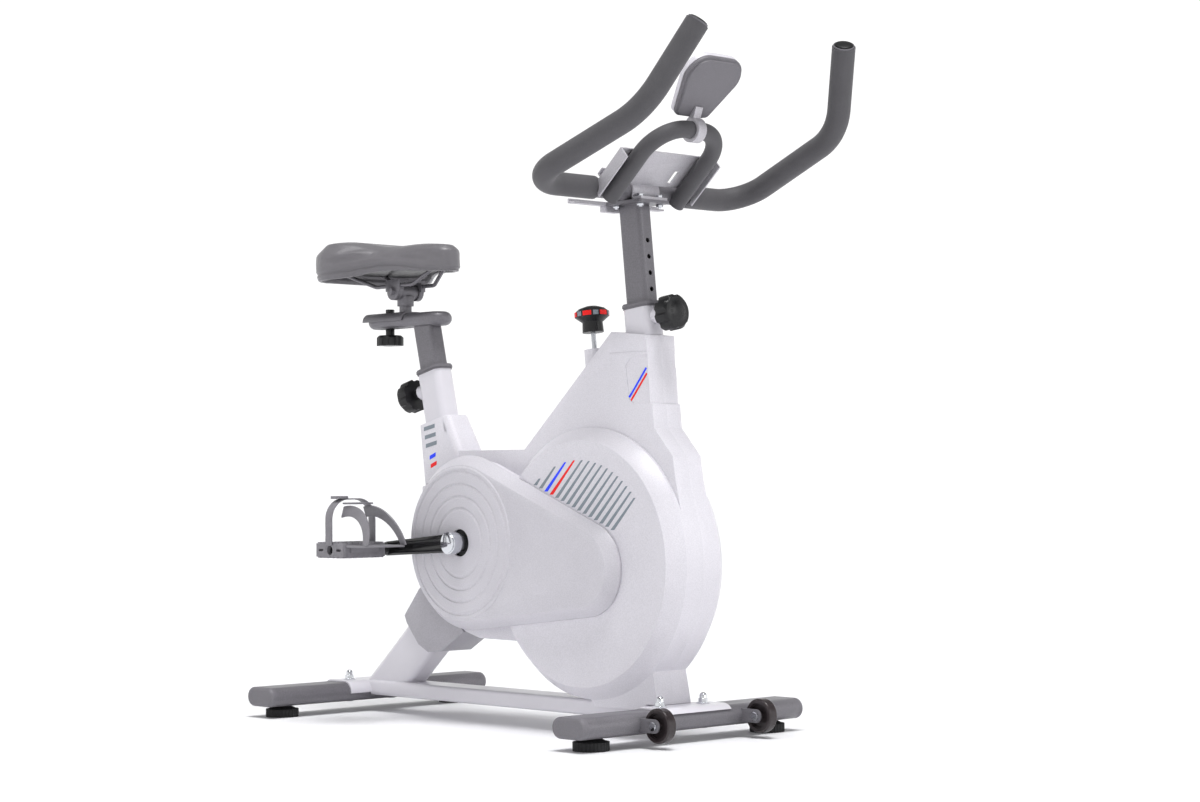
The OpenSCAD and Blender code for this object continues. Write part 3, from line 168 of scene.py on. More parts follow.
def surface(name, colour, *, roughness, metallic=0.0, ior=1.5, coat=0.0, coat_roughness=0.1, sheen=0.0,
            grain=0.8, depth=0.01, kind="NOISE", mottle=60.0, tone=0.04, spread=0.06, fleck=0.0, stretch=(1, 1, 1)):
    """A procedural finish in object space. grain and mottle are the widths of the fine relief and of the broad
    patches, and depth the relief's height, in millimetres. tone, spread and fleck are the shares by which the
    colour, the roughness and the fine flecks vary. kind is NOISE for an even grain or CELLS for pores or leather,
    and stretch packs the pattern closer along an axis."""
    material = bpy.data.materials.new(name)
    material.use_nodes = True
    tree = material.node_tree
    tree.nodes.clear()
    place = add(tree, "TexCoord").outputs["Object"]
    place = add(tree, "Mapping", {"vector_type": "POINT"}, Vector=place, Scale=stretch).outputs[0]
    broad = add(tree, "TexNoise", Vector=place, Scale=1000 / mottle, Detail=3.0, Roughness=0.6).outputs[0]
    fine = add(tree, "TexNoise", Vector=place, Scale=1000 / grain, Detail=2.0, Roughness=0.5).outputs[0]
    if kind == "CELLS":
        height = add(tree, "TexVoronoi", {"feature": "SMOOTH_F1"}, Vector=place, Scale=1000 / grain,
                     Smoothness=0.35).outputs["Distance"]
    else:
        height = fine
    # broad patches drift a little in colour and in roughness
    tones = add(tree, "ValToRGB", Fac=broad)
    tones.color_ramp.elements[0].position = 0.3
    tones.color_ramp.elements[0].color = shade(colour, 1 - tone)
    tones.color_ramp.elements[1].position = 0.7
    tones.color_ramp.elements[1].color = shade(colour, 1 + tone)
    paint = tones.outputs[0]
    if fleck:
        flecks = add(tree, "MapRange", {"clamp": True}, Value=fine, From_Min=0.35, From_Max=0.65,
                     To_Min=1 - fleck, To_Max=1 + fleck).outputs[0]
        paint = add(tree, "VectorMath", {"operation": "SCALE"}, _0=paint, Scale=flecks).outputs[0]
    rough = add(tree, "MapRange", {"clamp": True}, Value=broad, From_Min=0.3, From_Max=0.7,
                To_Min=max(0.02, roughness - spread), To_Max=min(1.0, roughness + spread)).outputs[0]
    bump = add(tree, "Bump", Height=height, Strength=1.0, Distance=depth * MM).outputs[0]
    shader = add(tree, "BsdfPrincipled", Base_Color=paint, Roughness=rough, Metallic=metallic, IOR=ior,
                 Coat_Weight=coat, Coat_Roughness=coat_roughness, Sheen_Weight=sheen, Normal=bump)
    out = add(tree, "OutputMaterial", Surface=shader.outputs[0])
    out.is_active_output = True
    return material


MATERIALS = {}  # the finishes by name, filled by make_materials


def make_materials(colours):
    """Fills the table of finishes. Most grains are 1 to 3 mm wide, which shows from near by."""
    white, grey, black = tuple(colours.white), tuple(colours.grey), tuple(colours.black)
    table = MATERIALS
    # powder-coated steel: a hard glossy film with slight orange peel about 3 mm across
    table["powder_coat_white"] = surface(
        "powder_coat_white", white, roughness=0.34, coat=0.35, coat_roughness=0.2, grain=3.0, depth=0.03, tone=0.015)
    # satin powder coat with mica: fine light flecks, drawn 1.6 mm wide so that they show
    table["powder_coat_grey"] = surface(
        "powder_coat_grey", grey, roughness=0.42, metallic=0.25, coat=0.15, coat_roughness=0.3,
        grain=1.6, depth=0.02, tone=0.05, fleck=0.1)
    # the same grey coat painted lighter, as painted light, on parts that lie in shade under the bars
    table["powder_coat_painted_light"] = surface(
        "powder_coat_painted_light", tuple(linear("#C2C0C5")), roughness=0.45, metallic=0.2, grain=1.6, depth=0.02,
        tone=0.04, fleck=0.1)
    # moulded ABS with spark-eroded texture: soft gloss broken by grain, drawn 1.8 mm wide so that it shows
    table["moulded_abs_white"] = surface(
        "moulded_abs_white", white, roughness=0.36, ior=1.53, grain=1.8, depth=0.07, tone=0.015, fleck=0.045)
    # the belt covers' ABS: the same grain in a slightly greyer white
    table["moulded_abs_cover"] = surface(
        "moulded_abs_cover", tuple(colours.cover), roughness=0.38, ior=1.53, grain=1.8, depth=0.08,
        tone=0.02, fleck=0.05)
    # the boot's ABS: the same grain, with the covers' white painted darker all over as painted shade, since the boot
    # faces away from the light
    table["moulded_abs_painted_shade"] = surface(
        "moulded_abs_painted_shade", tuple(colours.boot), roughness=0.4, ior=1.53, grain=1.8, depth=0.08, tone=0.03, fleck=0.06)
    # moulded polypropylene, grey: matt, with a waxy low shine
    table["moulded_pp_grey"] = surface(
        "moulded_pp_grey", grey, roughness=0.5, ior=1.49, grain=1.5, depth=0.04, tone=0.04, fleck=0.05)
    # glass-filled nylon of pedals and cages: dull, with faint flow streaks
    table["filled_nylon"] = surface(
        "filled_nylon", tuple(colours.pedal), roughness=0.48, ior=1.53, grain=1.4, depth=0.05, tone=0.07,
        mottle=25, fleck=0.06)
    # moulded nylon knob: near black with a soft broad shine
    table["black_nylon"] = surface(
        "black_nylon", black, roughness=0.33, ior=1.53, grain=1.2, depth=0.03, tone=0.12, mottle=20)
    # gloss enamel on forged crank arms
    table["crank_enamel"] = surface(
        "crank_enamel", shade(black, 0.7)[:3], roughness=0.22, coat=0.5, coat_roughness=0.1, grain=4,
        depth=0.04, tone=0.1)
    # closed-cell NBR foam: skin of tiny pores, drawn 1.7 mm wide so that they show
    table["nbr_foam"] = surface(
        "nbr_foam", tuple(colours.foam), roughness=0.62, ior=1.45, sheen=0.15, grain=1.7, depth=0.09, kind="CELLS",
        tone=0.06, mottle=40, fleck=0.05)
    # embossed vinyl over foam: leather cells about 2 mm across and a soft sheen
    table["saddle_vinyl"] = surface(
        "saddle_vinyl", tuple(colours.saddle), roughness=0.4, ior=1.5, coat=0.2, coat_roughness=0.3, sheen=0.1,
        grain=2.2, depth=0.11, kind="CELLS", tone=0.05, mottle=70)
    # vulcanised rubber: dull and slightly dusty
    table["rubber"] = surface(
        "rubber", tuple(linear("#2B2B2D")), roughness=0.66, ior=1.52, grain=1.3, depth=0.05, tone=0.15, mottle=22)
    # cut rubber belt with a cloth back
    table["belt_rubber"] = surface(
        "belt_rubber", tuple(linear("#1A1A1C")), roughness=0.7, ior=1.52, grain=1.2, depth=0.06, tone=0.2, mottle=14)
    # smoky polycarbonate wheels: dark, glossy and slightly brown
    table["smoky_plastic"] = surface(
        "smoky_plastic", tuple(linear("#3A3335")), roughness=0.2, ior=1.58, grain=2.5, depth=0.02, tone=0.2, mottle=12)
    # turned steel: fine tool marks running round
    table["turned_steel"] = surface(
        "turned_steel", tuple(linear("#B9BBBF")), roughness=0.3, metallic=1.0, grain=1.0, depth=0.012, tone=0.06,
        mottle=12, stretch=(1, 8, 1))
    # bright chrome plate on bolts and caps
    table["chrome_plate"] = surface(
        "chrome_plate", tuple(linear("#DADCE0")), roughness=0.09, metallic=1.0, grain=5, depth=0.004, tone=0.02,
        spread=0.03)
    # cast iron with a turned rim: dark and open-grained
    table["cast_iron"] = surface(
        "cast_iron", tuple(linear("#6A6B6F")), roughness=0.5, metallic=0.9, grain=2.0, depth=0.08, tone=0.15, mottle=18)
    # pressed wool felt, as a brake pad
    table["wool_felt"] = surface(
        "wool_felt", tuple(linear("#6B5843")), roughness=0.95, sheen=0.4, grain=1.4, depth=0.25, tone=0.2, mottle=6)
    # dark glass over the display, with a polished front
    table["display_glass"] = surface(
        "display_glass", tuple(linear("#20262B")), roughness=0.08, ior=1.52, coat=0.6, coat_roughness=0.03, grain=30,
        depth=0.003, tone=0.1, mottle=30, spread=0.03)
    # screen-printed ink: flat, slightly raised, with faint mesh unevenness
    for ink in ("blue", "red", "slate"):
        table["ink_" + ink] = surface(
            "ink_" + ink, tuple(getattr(colours, ink)), roughness=0.35, grain=1.2, depth=0.01, tone=0.04, mottle=10)


# ---------- making pieces ----------

CREASE = 32.0  # degrees between faces above which an edge is shaded sharp
WELD = 2e-6  # metres between corners that count as one
FLAT = 0.6  # degrees between faces that count as one flat face


def finished(name, bm, material, body, replaced=(), angle=CREASE):
    """Makes a shown piece from a bmesh, riding on its body: smooth shaded, with creases over the angle kept."""
    mesh = bpy.data.meshes.new(name)
    bm.to_mesh(mesh)
    bm.free()
    for polygon in mesh.polygons:
        polygon.use_smooth = True
    mesh.set_sharp_from_angle(angle=math.radians(angle))
    piece = bpy.data.objects.new(name, mesh)
    bpy.context.scene.collection.objects.link(piece)
    mesh.materials.append(MATERIALS[material])
    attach(piece, body)
    if replaced:
        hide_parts(*replaced)
    return piece


def merged_copy(node):
    """A clean bmesh of a CAD node: one skin of flat faces in place of loose triangles."""
    bm = bmesh.new()
    bm.from_mesh(NODES[node].data)
    bmesh.ops.remove_doubles(bm, verts=bm.verts, dist=WELD)
    bmesh.ops.dissolve_limit(bm, angle_limit=math.radians(FLAT), verts=bm.verts, edges=bm.edges)
    return bm


def rounded_copy(node, radius, material, segments=2, crease=40.0):
    """A piece that stands for a CAD node, with its edges sharper than the crease angle rounded."""
    bm = merged_copy(node)
    sharp = [e for e in bm.edges if len(e.link_faces) == 2 and e.calc_face_angle(0) > math.radians(crease)]
    bmesh.ops.bevel(bm, geom=sharp, offset=radius, offset_type="OFFSET", segments=segments, profile=0.5,
                    affect="EDGES", clamp_overlap=True, material=-1)
    body = body_of(NODES[node])[0]
    return finished(node + "_finished", bm, material, body, [node])


def turned(spot, axis, profile, start=0.0, sweep=360.0, steps=128):
    """A bmesh turned round an axis from (radius, height) points in millimetres, whole or as a solid arc."""
    bm = bmesh.new()
    across = Matrix.Rotation(math.radians(start), 3, axis) @ axis.orthogonal().normalized()
    full = sweep >= 360.0
    verts = [bm.verts.new(spot + across * (r * MM) + axis * (h * MM)) for r, h in profile]
    if full:
        geom = verts + [bm.edges.new(pair) for pair in zip(verts, verts[1:])]
    else:
        geom = [bm.faces.new(verts)]
    bmesh.ops.spin(bm, geom=geom, cent=spot, axis=axis, angle=math.radians(sweep), steps=steps, use_merge=full,
                   use_duplicate=False)
    bmesh.ops.remove_doubles(bm, verts=bm.verts, dist=1e-5)
    bmesh.ops.recalc_face_normals(bm, faces=bm.faces)
    if full and sum(f.normal.dot(axis) * f.calc_area() for f in bm.faces) < 0:
        bmesh.ops.reverse_faces(bm, faces=bm.faces)
    return bm


def joint_axis(name):
    """The place and direction of a joint at rest."""
    joint = next(j for j in frame["joints"] if j["name"] == name)
    return Vector(joint.get("pos_m", (0, 0, 0))), Vector(joint["axis"]).normalized()


def paint(material, *nodes):
    """Gives CAD nodes a finish and smooth shading; their corners and faces stay as they are."""
    for node in nodes:
        slots = NODES[node].data.materials
        slots.clear()
        slots.append(MATERIALS[material])
        for polygon in NODES[node].data.polygons:
            polygon.use_smooth = True
        NODES[node].data.set_sharp_from_angle(angle=math.radians(CREASE))


OUTSIDE = 300  # millimetres from the middle plane, beyond every cover
SUNK = 0.15 * MM  # how far a mark reaches into the skin under it


def inlay(name, node, shapes, material, side):
    """Thin printed shapes laid on the outer skin of a node fixed to the frame. Each shape is a ring of points
    (x, z) in millimetres from the crank axis, and side is -1 for the right of the bike and 1 for the left."""
    high = bpy.context.scene.bike_sizes.ink_height
    skin = bmesh.new()
    skin.from_mesh(NODES[node].data)
    tree = BVHTree.FromBMesh(skin)
    skin.free()
    bm = bmesh.new()
    for points in shapes:
        # long edges are divided so that the mark can follow a curved skin
        face = bm.faces.new([bm.verts.new(side_point(x, z, side * OUTSIDE)) for x, z in points])
        long = [e for e in face.edges if e.calc_length() > 9 * MM]
        bmesh.ops.subdivide_edges(bm, edges=long, cuts=6, use_grid_fill=True)
    for vert in bm.verts:
        hit = tree.ray_cast(vert.co, Vector((0, -side, 0)))[0]
        if not hit:
            raise RuntimeError(name + " has nothing under it")
        vert.co.y = hit.y - side * SUNK
    bmesh.ops.recalc_face_normals(bm, faces=bm.faces)
    if sum(f.normal.y * f.calc_area() for f in bm.faces) * side < 0:
        bmesh.ops.reverse_faces(bm, faces=bm.faces)
    top = bmesh.ops.extrude_face_region(bm, geom=list(bm.faces), use_keep_orig=True)
    moved = [v for v in top["geom"] if isinstance(v, bmesh.types.BMVert)]
    bmesh.ops.translate(bm, vec=(0, side * (high + SUNK), 0), verts=moved)
    bmesh.ops.recalc_face_normals(bm, faces=bm.faces)
    return finished(name, bm, material, "frame", angle=30)


def slanted(x, z, length, low_width, high_width):
    """A bar that slants 45 degrees forward from its lower end and is cut level, as four points."""
    run = length * math.sqrt(0.5)
    return [(x - low_width / 2, z), (x + low_width / 2, z), (x + run + high_width / 2, z + run),
            (x + run - high_width / 2, z + run)]


def bell(x, centre, width):
    """A smooth hump of height 1."""
    return math.exp(-(((x - centre) / width) ** 2))


def stripe(x1, z1, x2, z2, width):
    """A square-ended bar between two points, as four points."""
    reach = math.hypot(x2 - x1, z2 - z1)
    ax, az = -(z2 - z1) / reach * width / 2, (x2 - x1) / reach * width / 2
    return [(x1 - ax, z1 - az), (x2 - ax, z2 - az), (x2 + ax, z2 + az), (x1 + ax, z1 + az)]


# ---------- operators ----------

# the camera solved from the photo: its place in millimetres from the crank axis, from the middle plane and from the
# floor, and its directions in degrees
CAMERA_X, CAMERA_Y, CAMERA_HEIGHT = 3267.5, -2834.9, 424.1
CAMERA_YAW, CAMERA_PITCH, CAMERA_ROLL = 136.674, 1.7466, -0.355
# each soft panel's name, place and aim in metres, side in metres and power in watts
PANELS = (
    ("front_panel", (3.6, 0.9, 1.7), (0.1, 0.0, 0.6), 1.6, 14),
    ("side_panel", (-1.6, -3.4, 2.4), (0.0, 0.0, 0.6), 1.6, 6),
)
SUN_POWER, SUN_WIDTH, SUN_WAY = 2.45, 26, (-0.2, 0.1, -0.95)
CEILING_LIGHT = 0.26  # the room's brightness overhead
EXPOSURE, GAMMA = 0.12, 0.86  # the photo's white backdrop and soft shadows


class BIKE_OT_stage(bpy.types.Operator):
    """Lay the floor and set the lights and the camera"""

    bl_idname = "bike.stage"
    bl_label = "Stage"

    def execute(self, context):
        sizes = context.scene.bike_sizes
        scene = context.scene
        bm = bmesh.new()
        bmesh.ops.create_grid(bm, x_segments=8, y_segments=8, size=sizes.floor_size / 2)
        mesh = bpy.data.meshes.new("floor")
        bm.to_mesh(mesh)
        bm.free()
        floor = bpy.data.objects.new("floor", mesh)
        scene.collection.objects.link(floor)
        # matt studio paper: near white, with hardly any tooth
        mesh.materials.append(surface("studio_paper", tuple(linear("#F4F4F6")), roughness=0.6, grain=6, depth=0.02,
                                      tone=0.004, mottle=900))

        world = bpy.data.worlds.new("studio")
        scene.world = world
        world.use_nodes = True
        # a white room: bright from the floor line up to head height, and dimmer overhead
        tree = world.node_tree
        way = add(tree, "SeparateXYZ", Vector=add(tree, "TexCoord").outputs["Generated"]).outputs["Z"]
        dim = add(tree, "MapRange", {"interpolation_type": "SMOOTHSTEP"}, Value=way, From_Min=0.2, From_Max=0.6,
                  To_Min=sizes.room_light, To_Max=CEILING_LIGHT).outputs[0]
        tree.links.new(dim, tree.nodes["Background"].inputs["Strength"])
        tree.nodes["Background"].inputs["Color"].default_value = (1.0, 1.0, 1.0, 1.0)
        lamp = bpy.data.lights.new("overhead", "SUN")
        lamp.energy = SUN_POWER
        lamp.angle = math.radians(SUN_WIDTH)
        overhead = bpy.data.objects.new("overhead", lamp)
        overhead.rotation_euler = Vector(SUN_WAY).to_track_quat("-Z", "Y").to_euler()
        scene.collection.objects.link(overhead)
        for name, spot, aim, size, power in PANELS:
            lamp = bpy.data.lights.new(name, "AREA")
            lamp.shape = "SQUARE"
            lamp.size = size
            lamp.energy = power
            panel = bpy.data.objects.new(name, lamp)
            panel.location = spot
            panel.rotation_euler = (Vector(aim) - Vector(spot)).to_track_quat("-Z", "Y").to_euler()
            scene.collection.objects.link(panel)

        eye = bpy.data.cameras.new("camera")
        eye.lens = sizes.camera_lens
        eye.sensor_width = 36.0
        camera = bpy.data.objects.new("camera", eye)
        yaw, pitch, roll = (math.radians(a) for a in (CAMERA_YAW, CAMERA_PITCH, CAMERA_ROLL))
        ahead = Vector((math.cos(pitch) * math.cos(yaw), math.cos(pitch) * math.sin(yaw), math.sin(pitch)))
        right = ahead.cross(Vector((0, 0, 1))).normalized()
        up = right.cross(ahead)
        tilted_right = right * math.cos(roll) + up * math.sin(roll)
        tilted_up = up * math.cos(roll) - right * math.sin(roll)
        turn = Matrix((tilted_right, tilted_up, -ahead)).transposed()
        spot = side_point(CAMERA_X, 0, CAMERA_Y)
        spot.z = CAMERA_HEIGHT * MM
        camera.matrix_world = Matrix.Translation(spot) @ turn.to_4x4()
        scene.collection.objects.link(camera)
        scene.camera = camera
        scene.view_settings.view_transform = "Standard"
        scene.view_settings.exposure = EXPOSURE
        scene.view_settings.gamma = GAMMA
        return {"FINISHED"}


class BIKE_OT_frame(bpy.types.Operator):
    """Round and paint the base, frame tubes and feet"""

    bl_idname = "bike.frame"
    bl_label = "Frame and base"

    def execute(self, context):
        edge = context.scene.bike_sizes.edge_round
        paint("powder_coat_white", "rear_strut", "seat_tube", "main_tube", "head_tube")
        rounded_copy("base_rail", edge * 0.6, "powder_coat_white")
        rounded_copy("front_stabiliser", edge * 0.4, "powder_coat_grey")
        paint("powder_coat_grey", "rear_stabiliser")
        paint("moulded_pp_grey", "stabiliser_caps", "tube_collars")
        rounded_copy("base_fasteners", 0.4 * MM, "chrome_plate")
        for foot in ("foot_front_right", "foot_front_left", "foot_rear_right", "foot_rear_left"):
            rounded_copy(foot, 0.7 * MM, "rubber")
        paint("smoky_plastic", "wheel_right", "wheel_left")
        paint("turned_steel", "bearings")
        return {"FINISHED"}


SOFT_CREASE = 25  # degrees: the covers' shallow edges are rounded too
RING_RADII = (59.2, 80.3, 101.5, 123.4)  # the grooves pressed into each belt cover, in millimetres


class BIKE_OT_housing(bpy.types.Operator):
    """Finish the housing halves, boot and sleeve"""

    bl_idname = "bike.housing"
    bl_label = "Housing"

    def execute(self, context):
        edge = context.scene.bike_sizes.shell_round
        for node in ("shell_right", "shell_left", "seat_sleeve"):
            rounded_copy(node, edge, "moulded_abs_white", segments=3, crease=SOFT_CREASE)
        # the boot's white is painted darker, as painted shade
        rounded_copy("strut_boot", edge, "moulded_abs_painted_shade", segments=3, crease=SOFT_CREASE)
        self.close_sleeve()
        for node in ("belt_guard", "left_guard"):
            rounded_copy(node, 1.2 * MM, "moulded_abs_cover", crease=SOFT_CREASE)
        for side, word in ((-1, "right"), (1, "left")):
            # pressed rings round the crank: flat lands with a sloped groove between each two
            profile = [(23.5, -1.0), (23.5, 1.4)]
            for radius in RING_RADII:
                profile += [(radius - 4.6, 1.4), (radius - 1.0, 0.1), (radius + 1.0, 0.1), (radius + 2.4, 1.4)]
            profile += [(129.5, 1.4), (132.5, -0.6)]
            bm = turned(side_point(0, 0, side * 85), Vector((0, side, 0)), profile)
            finished("guard_rings_" + word, bm, "moulded_abs_cover", "frame", angle=12)
        return {"FINISHED"}

    def close_sleeve(self):
        """A lip over the slit at the front top of the sleeve: a strip of the sleeve's hull, made 1.6 mm thick."""
        up = joint_axis("seat_height")[1]
        ahead = Vector((0, 1, 0)).cross(up)
        ahead = ahead if ahead.x > 0 else -ahead
        lip = bmesh.new()
        for vert in NODES["seat_sleeve"].data.vertices:
            lip.verts.new(vert.co)
        bmesh.ops.remove_doubles(lip, verts=lip.verts, dist=1e-5)
        hull = bmesh.ops.convex_hull(lip, input=lip.verts)
        spare = [g for g in hull["geom_interior"] + hull["geom_unused"] if isinstance(g, bmesh.types.BMVert)]
        bmesh.ops.delete(lip, geom=list(set(spare)), context="VERTS")
        crown = max(v.co.dot(up) for v in lip.verts)
        front = max(v.co.dot(ahead) for v in lip.verts if v.co.dot(up) > crown - 1 * MM)
        cuts = ((up * (crown - 1.5 * MM), up), (up * (crown - 30 * MM), -up), (ahead * (front - 12 * MM), -ahead))
        for spot, way in cuts:
            bmesh.ops.bisect_plane(lip, geom=list(lip.verts) + list(lip.edges) + list(lip.faces), plane_co=spot,
                                   plane_no=way, clear_outer=True)
        bmesh.ops.recalc_face_normals(lip, faces=lip.faces)
        if sum(f.normal.dot(ahead) * f.calc_area() for f in lip.faces) < 0:
            bmesh.ops.reverse_faces(lip, faces=lip.faces)
        bmesh.ops.translate(lip, vec=ahead * 0.12 * MM, verts=lip.verts)
        bmesh.ops.solidify(lip, geom=list(lip.faces), thickness=1.6 * MM)
        bmesh.ops.recalc_face_normals(lip, faces=lip.faces)
        finished("sleeve_lip", lip, "moulded_abs_white", "frame")


# The marks' places are in millimetres: x ahead of the crank axis, z above it unless said otherwise.
DRUM_LINES = 15
DRUM_LINES_FROM, DRUM_LINES_TO = 168.4, 355.0
DRUM_LINE_INKS = {2: "blue", 3: "red"}  # every other line is slate
DRUM_X, DRUM_Z, DRUM_LINES_R = 276.0, -30.5, 170.0  # the circle on which the lines' top ends lie
FIN_STRIPES = (("blue", (365.0, 553.0), (404.5, 599.5)), ("red", (368.5, 547.5), (405.5, 590.5)))  # z from the floor
SLEEVE_BARS = ("slate", "slate", "slate", "blue", "red")
SLEEVE_BAR_TOP, SLEEVE_BAR_STEP, SLEEVE_BAR_GAP = 199.0, 15.0, 6.0


class BIKE_OT_markings(bpy.types.Operator):
    """Print the slanted lines and stripes on both sides"""

    bl_idname = "bike.markings"
    bl_label = "Markings"

    def execute(self, context):
        z0 = CRANK.z / MM
        for side, word in ((-1, "right"), (1, "left")):
            drum = "shell_" + word
            bars = {"slate": [], "blue": [], "red": []}
            for i in range(DRUM_LINES):
                # the lower ends follow the guard's straight upper edge, 3 mm above it
                x = DRUM_LINES_FROM + (DRUM_LINES_TO - DRUM_LINES_FROM) * i / (DRUM_LINES - 1)
                z = (150 - 0.3633 * x) / 0.9317 + 3.0
                fx, fz = x - DRUM_X, z - DRUM_Z
                half = (fx + fz) / math.sqrt(2)
                length = -half + math.sqrt(max(0.0, half**2 - (fx**2 + fz**2 - DRUM_LINES_R**2)))
                bars[DRUM_LINE_INKS.get(i, "slate")].append(slanted(x, z, length, 8.6, 4.2))
            for ink, shapes in bars.items():
                inlay("drum_lines_" + ink + "_" + word, drum, shapes, "ink_" + ink, side)
            for ink, (x1, z1), (x2, z2) in FIN_STRIPES:
                shape = stripe(x1, z1 - z0, x2, z2 - z0, 3.4)
                inlay("fin_stripe_" + ink + "_" + word, drum, [shape], "ink_" + ink, side)
            # three wide bars on the sleeve and two short ones under them, in a row that leans as the sleeve does
            for i, ink in enumerate(SLEEVE_BARS):
                wide, gap = (15, 0) if i < 3 else (8, SLEEVE_BAR_GAP)
                drop = SLEEVE_BAR_STEP * i + gap
                x, z = -152 + 0.24 * drop, SLEEVE_BAR_TOP - drop
                shape = [(x - wide, z - 4), (x + wide, z + 2), (x + wide, z + 9), (x - wide, z + 3)]
                inlay("sleeve_bar_%d_%s" % (i + 1, word), "seat_sleeve", [shape], "ink_" + ink, side)
        return {"FINISHED"}


class BIKE_OT_drive(bpy.types.Operator):
    """Finish the flywheel, pulleys, cranks and belt"""

    bl_idname = "bike.drive"
    bl_label = "Drive"

    def execute(self, context):
        paint("cast_iron", "flywheel")
        paint("turned_steel", "flywheel_axle", "crank_axle", "brake_rod")
        paint("black_nylon", "drive_pulley")
        paint("belt_rubber", "drive_belt")
        paint("wool_felt", "brake_shoe")
        for node in ("right_crank", "left_crank"):
            rounded_copy(node, 1.2 * MM, "crank_enamel")
        rounded_copy("crank_caps", 1.0 * MM, "chrome_plate")
        return {"FINISHED"}


class BIKE_OT_pedals(bpy.types.Operator):
    """Finish the pedals and toe cages"""

    bl_idname = "bike.pedals"
    bl_label = "Pedals"

    def execute(self, context):
        for node in ("right_pedal", "left_pedal", "right_toe_cage", "left_toe_cage"):
            rounded_copy(node, 0.7 * MM, "filled_nylon")
        return {"FINISHED"}


# humps along the saddle, each as its place and its width in shares of the length from the back
WAIST, DIP, NOSE, SWEEP = (0.58, 0.2), (0.52, 0.2), (0.92, 0.12), (0.6, 0.22)
PAD_GRID = 4.5 * MM  # the cover's grid before it is divided
GLUED = 27 * MM  # the cover doesn't swell below this height
SWELL = 4.5 * MM  # and nowhere by more than this
SWELL_FRAMES = 20


class BIKE_OT_saddle(bpy.types.Operator):
    """Finish the saddle, its rails and the seat post"""

    bl_idname = "bike.saddle"
    bl_label = "Saddle"

    def execute(self, context):
        edge = context.scene.bike_sizes.edge_round
        paint("powder_coat_grey", "seat_post", "saddle_rails")
        for node in ("seat_carriage", "saddle_clamp"):
            rounded_copy(node, edge * 0.5, "powder_coat_grey")
        low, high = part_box("saddle_cushion")
        length = high.x - low.x

        def share(x):
            """How far along the saddle a place lies, from 0 at the back to 1 at the nose."""
            return min(1.0, max(0.0, (x - low.x) / length))

        def waist(co):
            """The plan narrows behind the nose."""
            co.y *= 1 - 0.13 * bell(share(co.x), *WAIST)

        shell = merged_copy("saddle_shell")
        for vert in shell.verts:
            waist(vert.co)
        finished("saddle_base", shell, "black_nylon", "saddle", ["saddle_shell"])

        bm = merged_copy("saddle_cushion")
        mesh = bpy.data.meshes.new("saddle_pad")
        bm.to_mesh(mesh)
        bm.free()
        pad = bpy.data.objects.new("saddle_pad", mesh)
        context.scene.collection.objects.link(pad)
        context.view_layer.objects.active = pad
        grid = pad.modifiers.new("grid", "REMESH")
        grid.mode = "VOXEL"
        grid.voxel_size = PAD_GRID
        bpy.ops.object.modifier_apply(modifier="grid")
        bm = bmesh.new()
        bm.from_mesh(pad.data)
        bmesh.ops.smooth_vert(bm, verts=bm.verts, factor=0.5, use_axis_x=True, use_axis_y=True, use_axis_z=True)
        bm.to_mesh(pad.data)
        bm.free()
        for vert in pad.data.vertices:
            co = vert.co
            u = share(co.x)
            v = min(1.0, max(0.0, (co.z - low.z) / (high.z - low.z)))
            waist(co)
            # the top dips behind the middle and rises to the nose; the underside sweeps up to the waist
            dip = -11 * bell(u, *DIP) + 4 * bell(u, *NOSE)
            sweep = 12 * bell(u, *SWEEP)
            co.z += (dip * max(0.0, (v - 0.35) / 0.65) + sweep * max(0.0, 1 - v / 0.35)) * MM
        rest = [v.co.copy() for v in pad.data.vertices]
        pinned = pad.vertex_groups.new(name="pinned")
        pinned.add([i for i, co in enumerate(rest) if co.z < low.z + GLUED], 1.0, "REPLACE")
        cloth = pad.modifiers.new("swell", "CLOTH")
        cloth.settings.use_pressure = True
        cloth.settings.uniform_pressure_force = 4.0
        cloth.settings.vertex_group_mass = "pinned"
        cloth.settings.effector_weights.gravity = 0.0
        cloth.point_cache.frame_start = 1
        cloth.point_cache.frame_end = SWELL_FRAMES
        for number in range(1, SWELL_FRAMES + 1):
            context.scene.frame_set(number)
        swollen = pad.evaluated_get(context.evaluated_depsgraph_get()).to_mesh()
        shape = [v.co.copy() for v in swollen.vertices]
        pad.modifiers.remove(cloth)
        context.scene.frame_set(1)
        for vert, before, after in zip(pad.data.vertices, rest, shape):
            move = after - before
            vert.co = before + move * min(1.0, SWELL / max(move.length, 1e-9))
        fine = pad.modifiers.new("fine", "SUBSURF")
        fine.levels = fine.render_levels = 1
        bpy.ops.object.modifier_apply(modifier="fine")
        # the seam round the lower edge is pressed in, with a soft welt on each side
        bm = bmesh.new()
        bm.from_mesh(pad.data)
        bm.normal_update()
        for vert in bm.verts:
            line = low.z + (13 + 12 * bell(share(vert.co.x), *SWEEP)) * MM
            away = (vert.co.z - line) / (2.2 * MM)
            outward = Vector((vert.normal.x, vert.normal.y, 0))
            if abs(away) < 4 and outward.length > 0.5 and vert.co.z > low.z + 2 * MM:
                vert.co += outward * MM * (-1.6 * bell(away, 0, 1) + 0.6 * bell(abs(away), 1.9, 1))
        bm.to_mesh(pad.data)
        bm.free()
        for polygon in pad.data.polygons:
            polygon.use_smooth = True
        pad.data.materials.clear()
        pad.data.materials.append(MATERIALS["saddle_vinyl"])
        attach(pad, "saddle")
        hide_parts("saddle_cushion")
        return {"FINISHED"}


BAR_END_WAY = (63.4, 54.1, 130.0)  # the way the right end of the bar points; the left end mirrors it
PLUG_DOME = [(15.5, -2.0), (15.5, 0.3), (14.2, 1.7), (10.0, 2.8), (5.0, 3.2), (0.0, 3.3)]  # radius and height


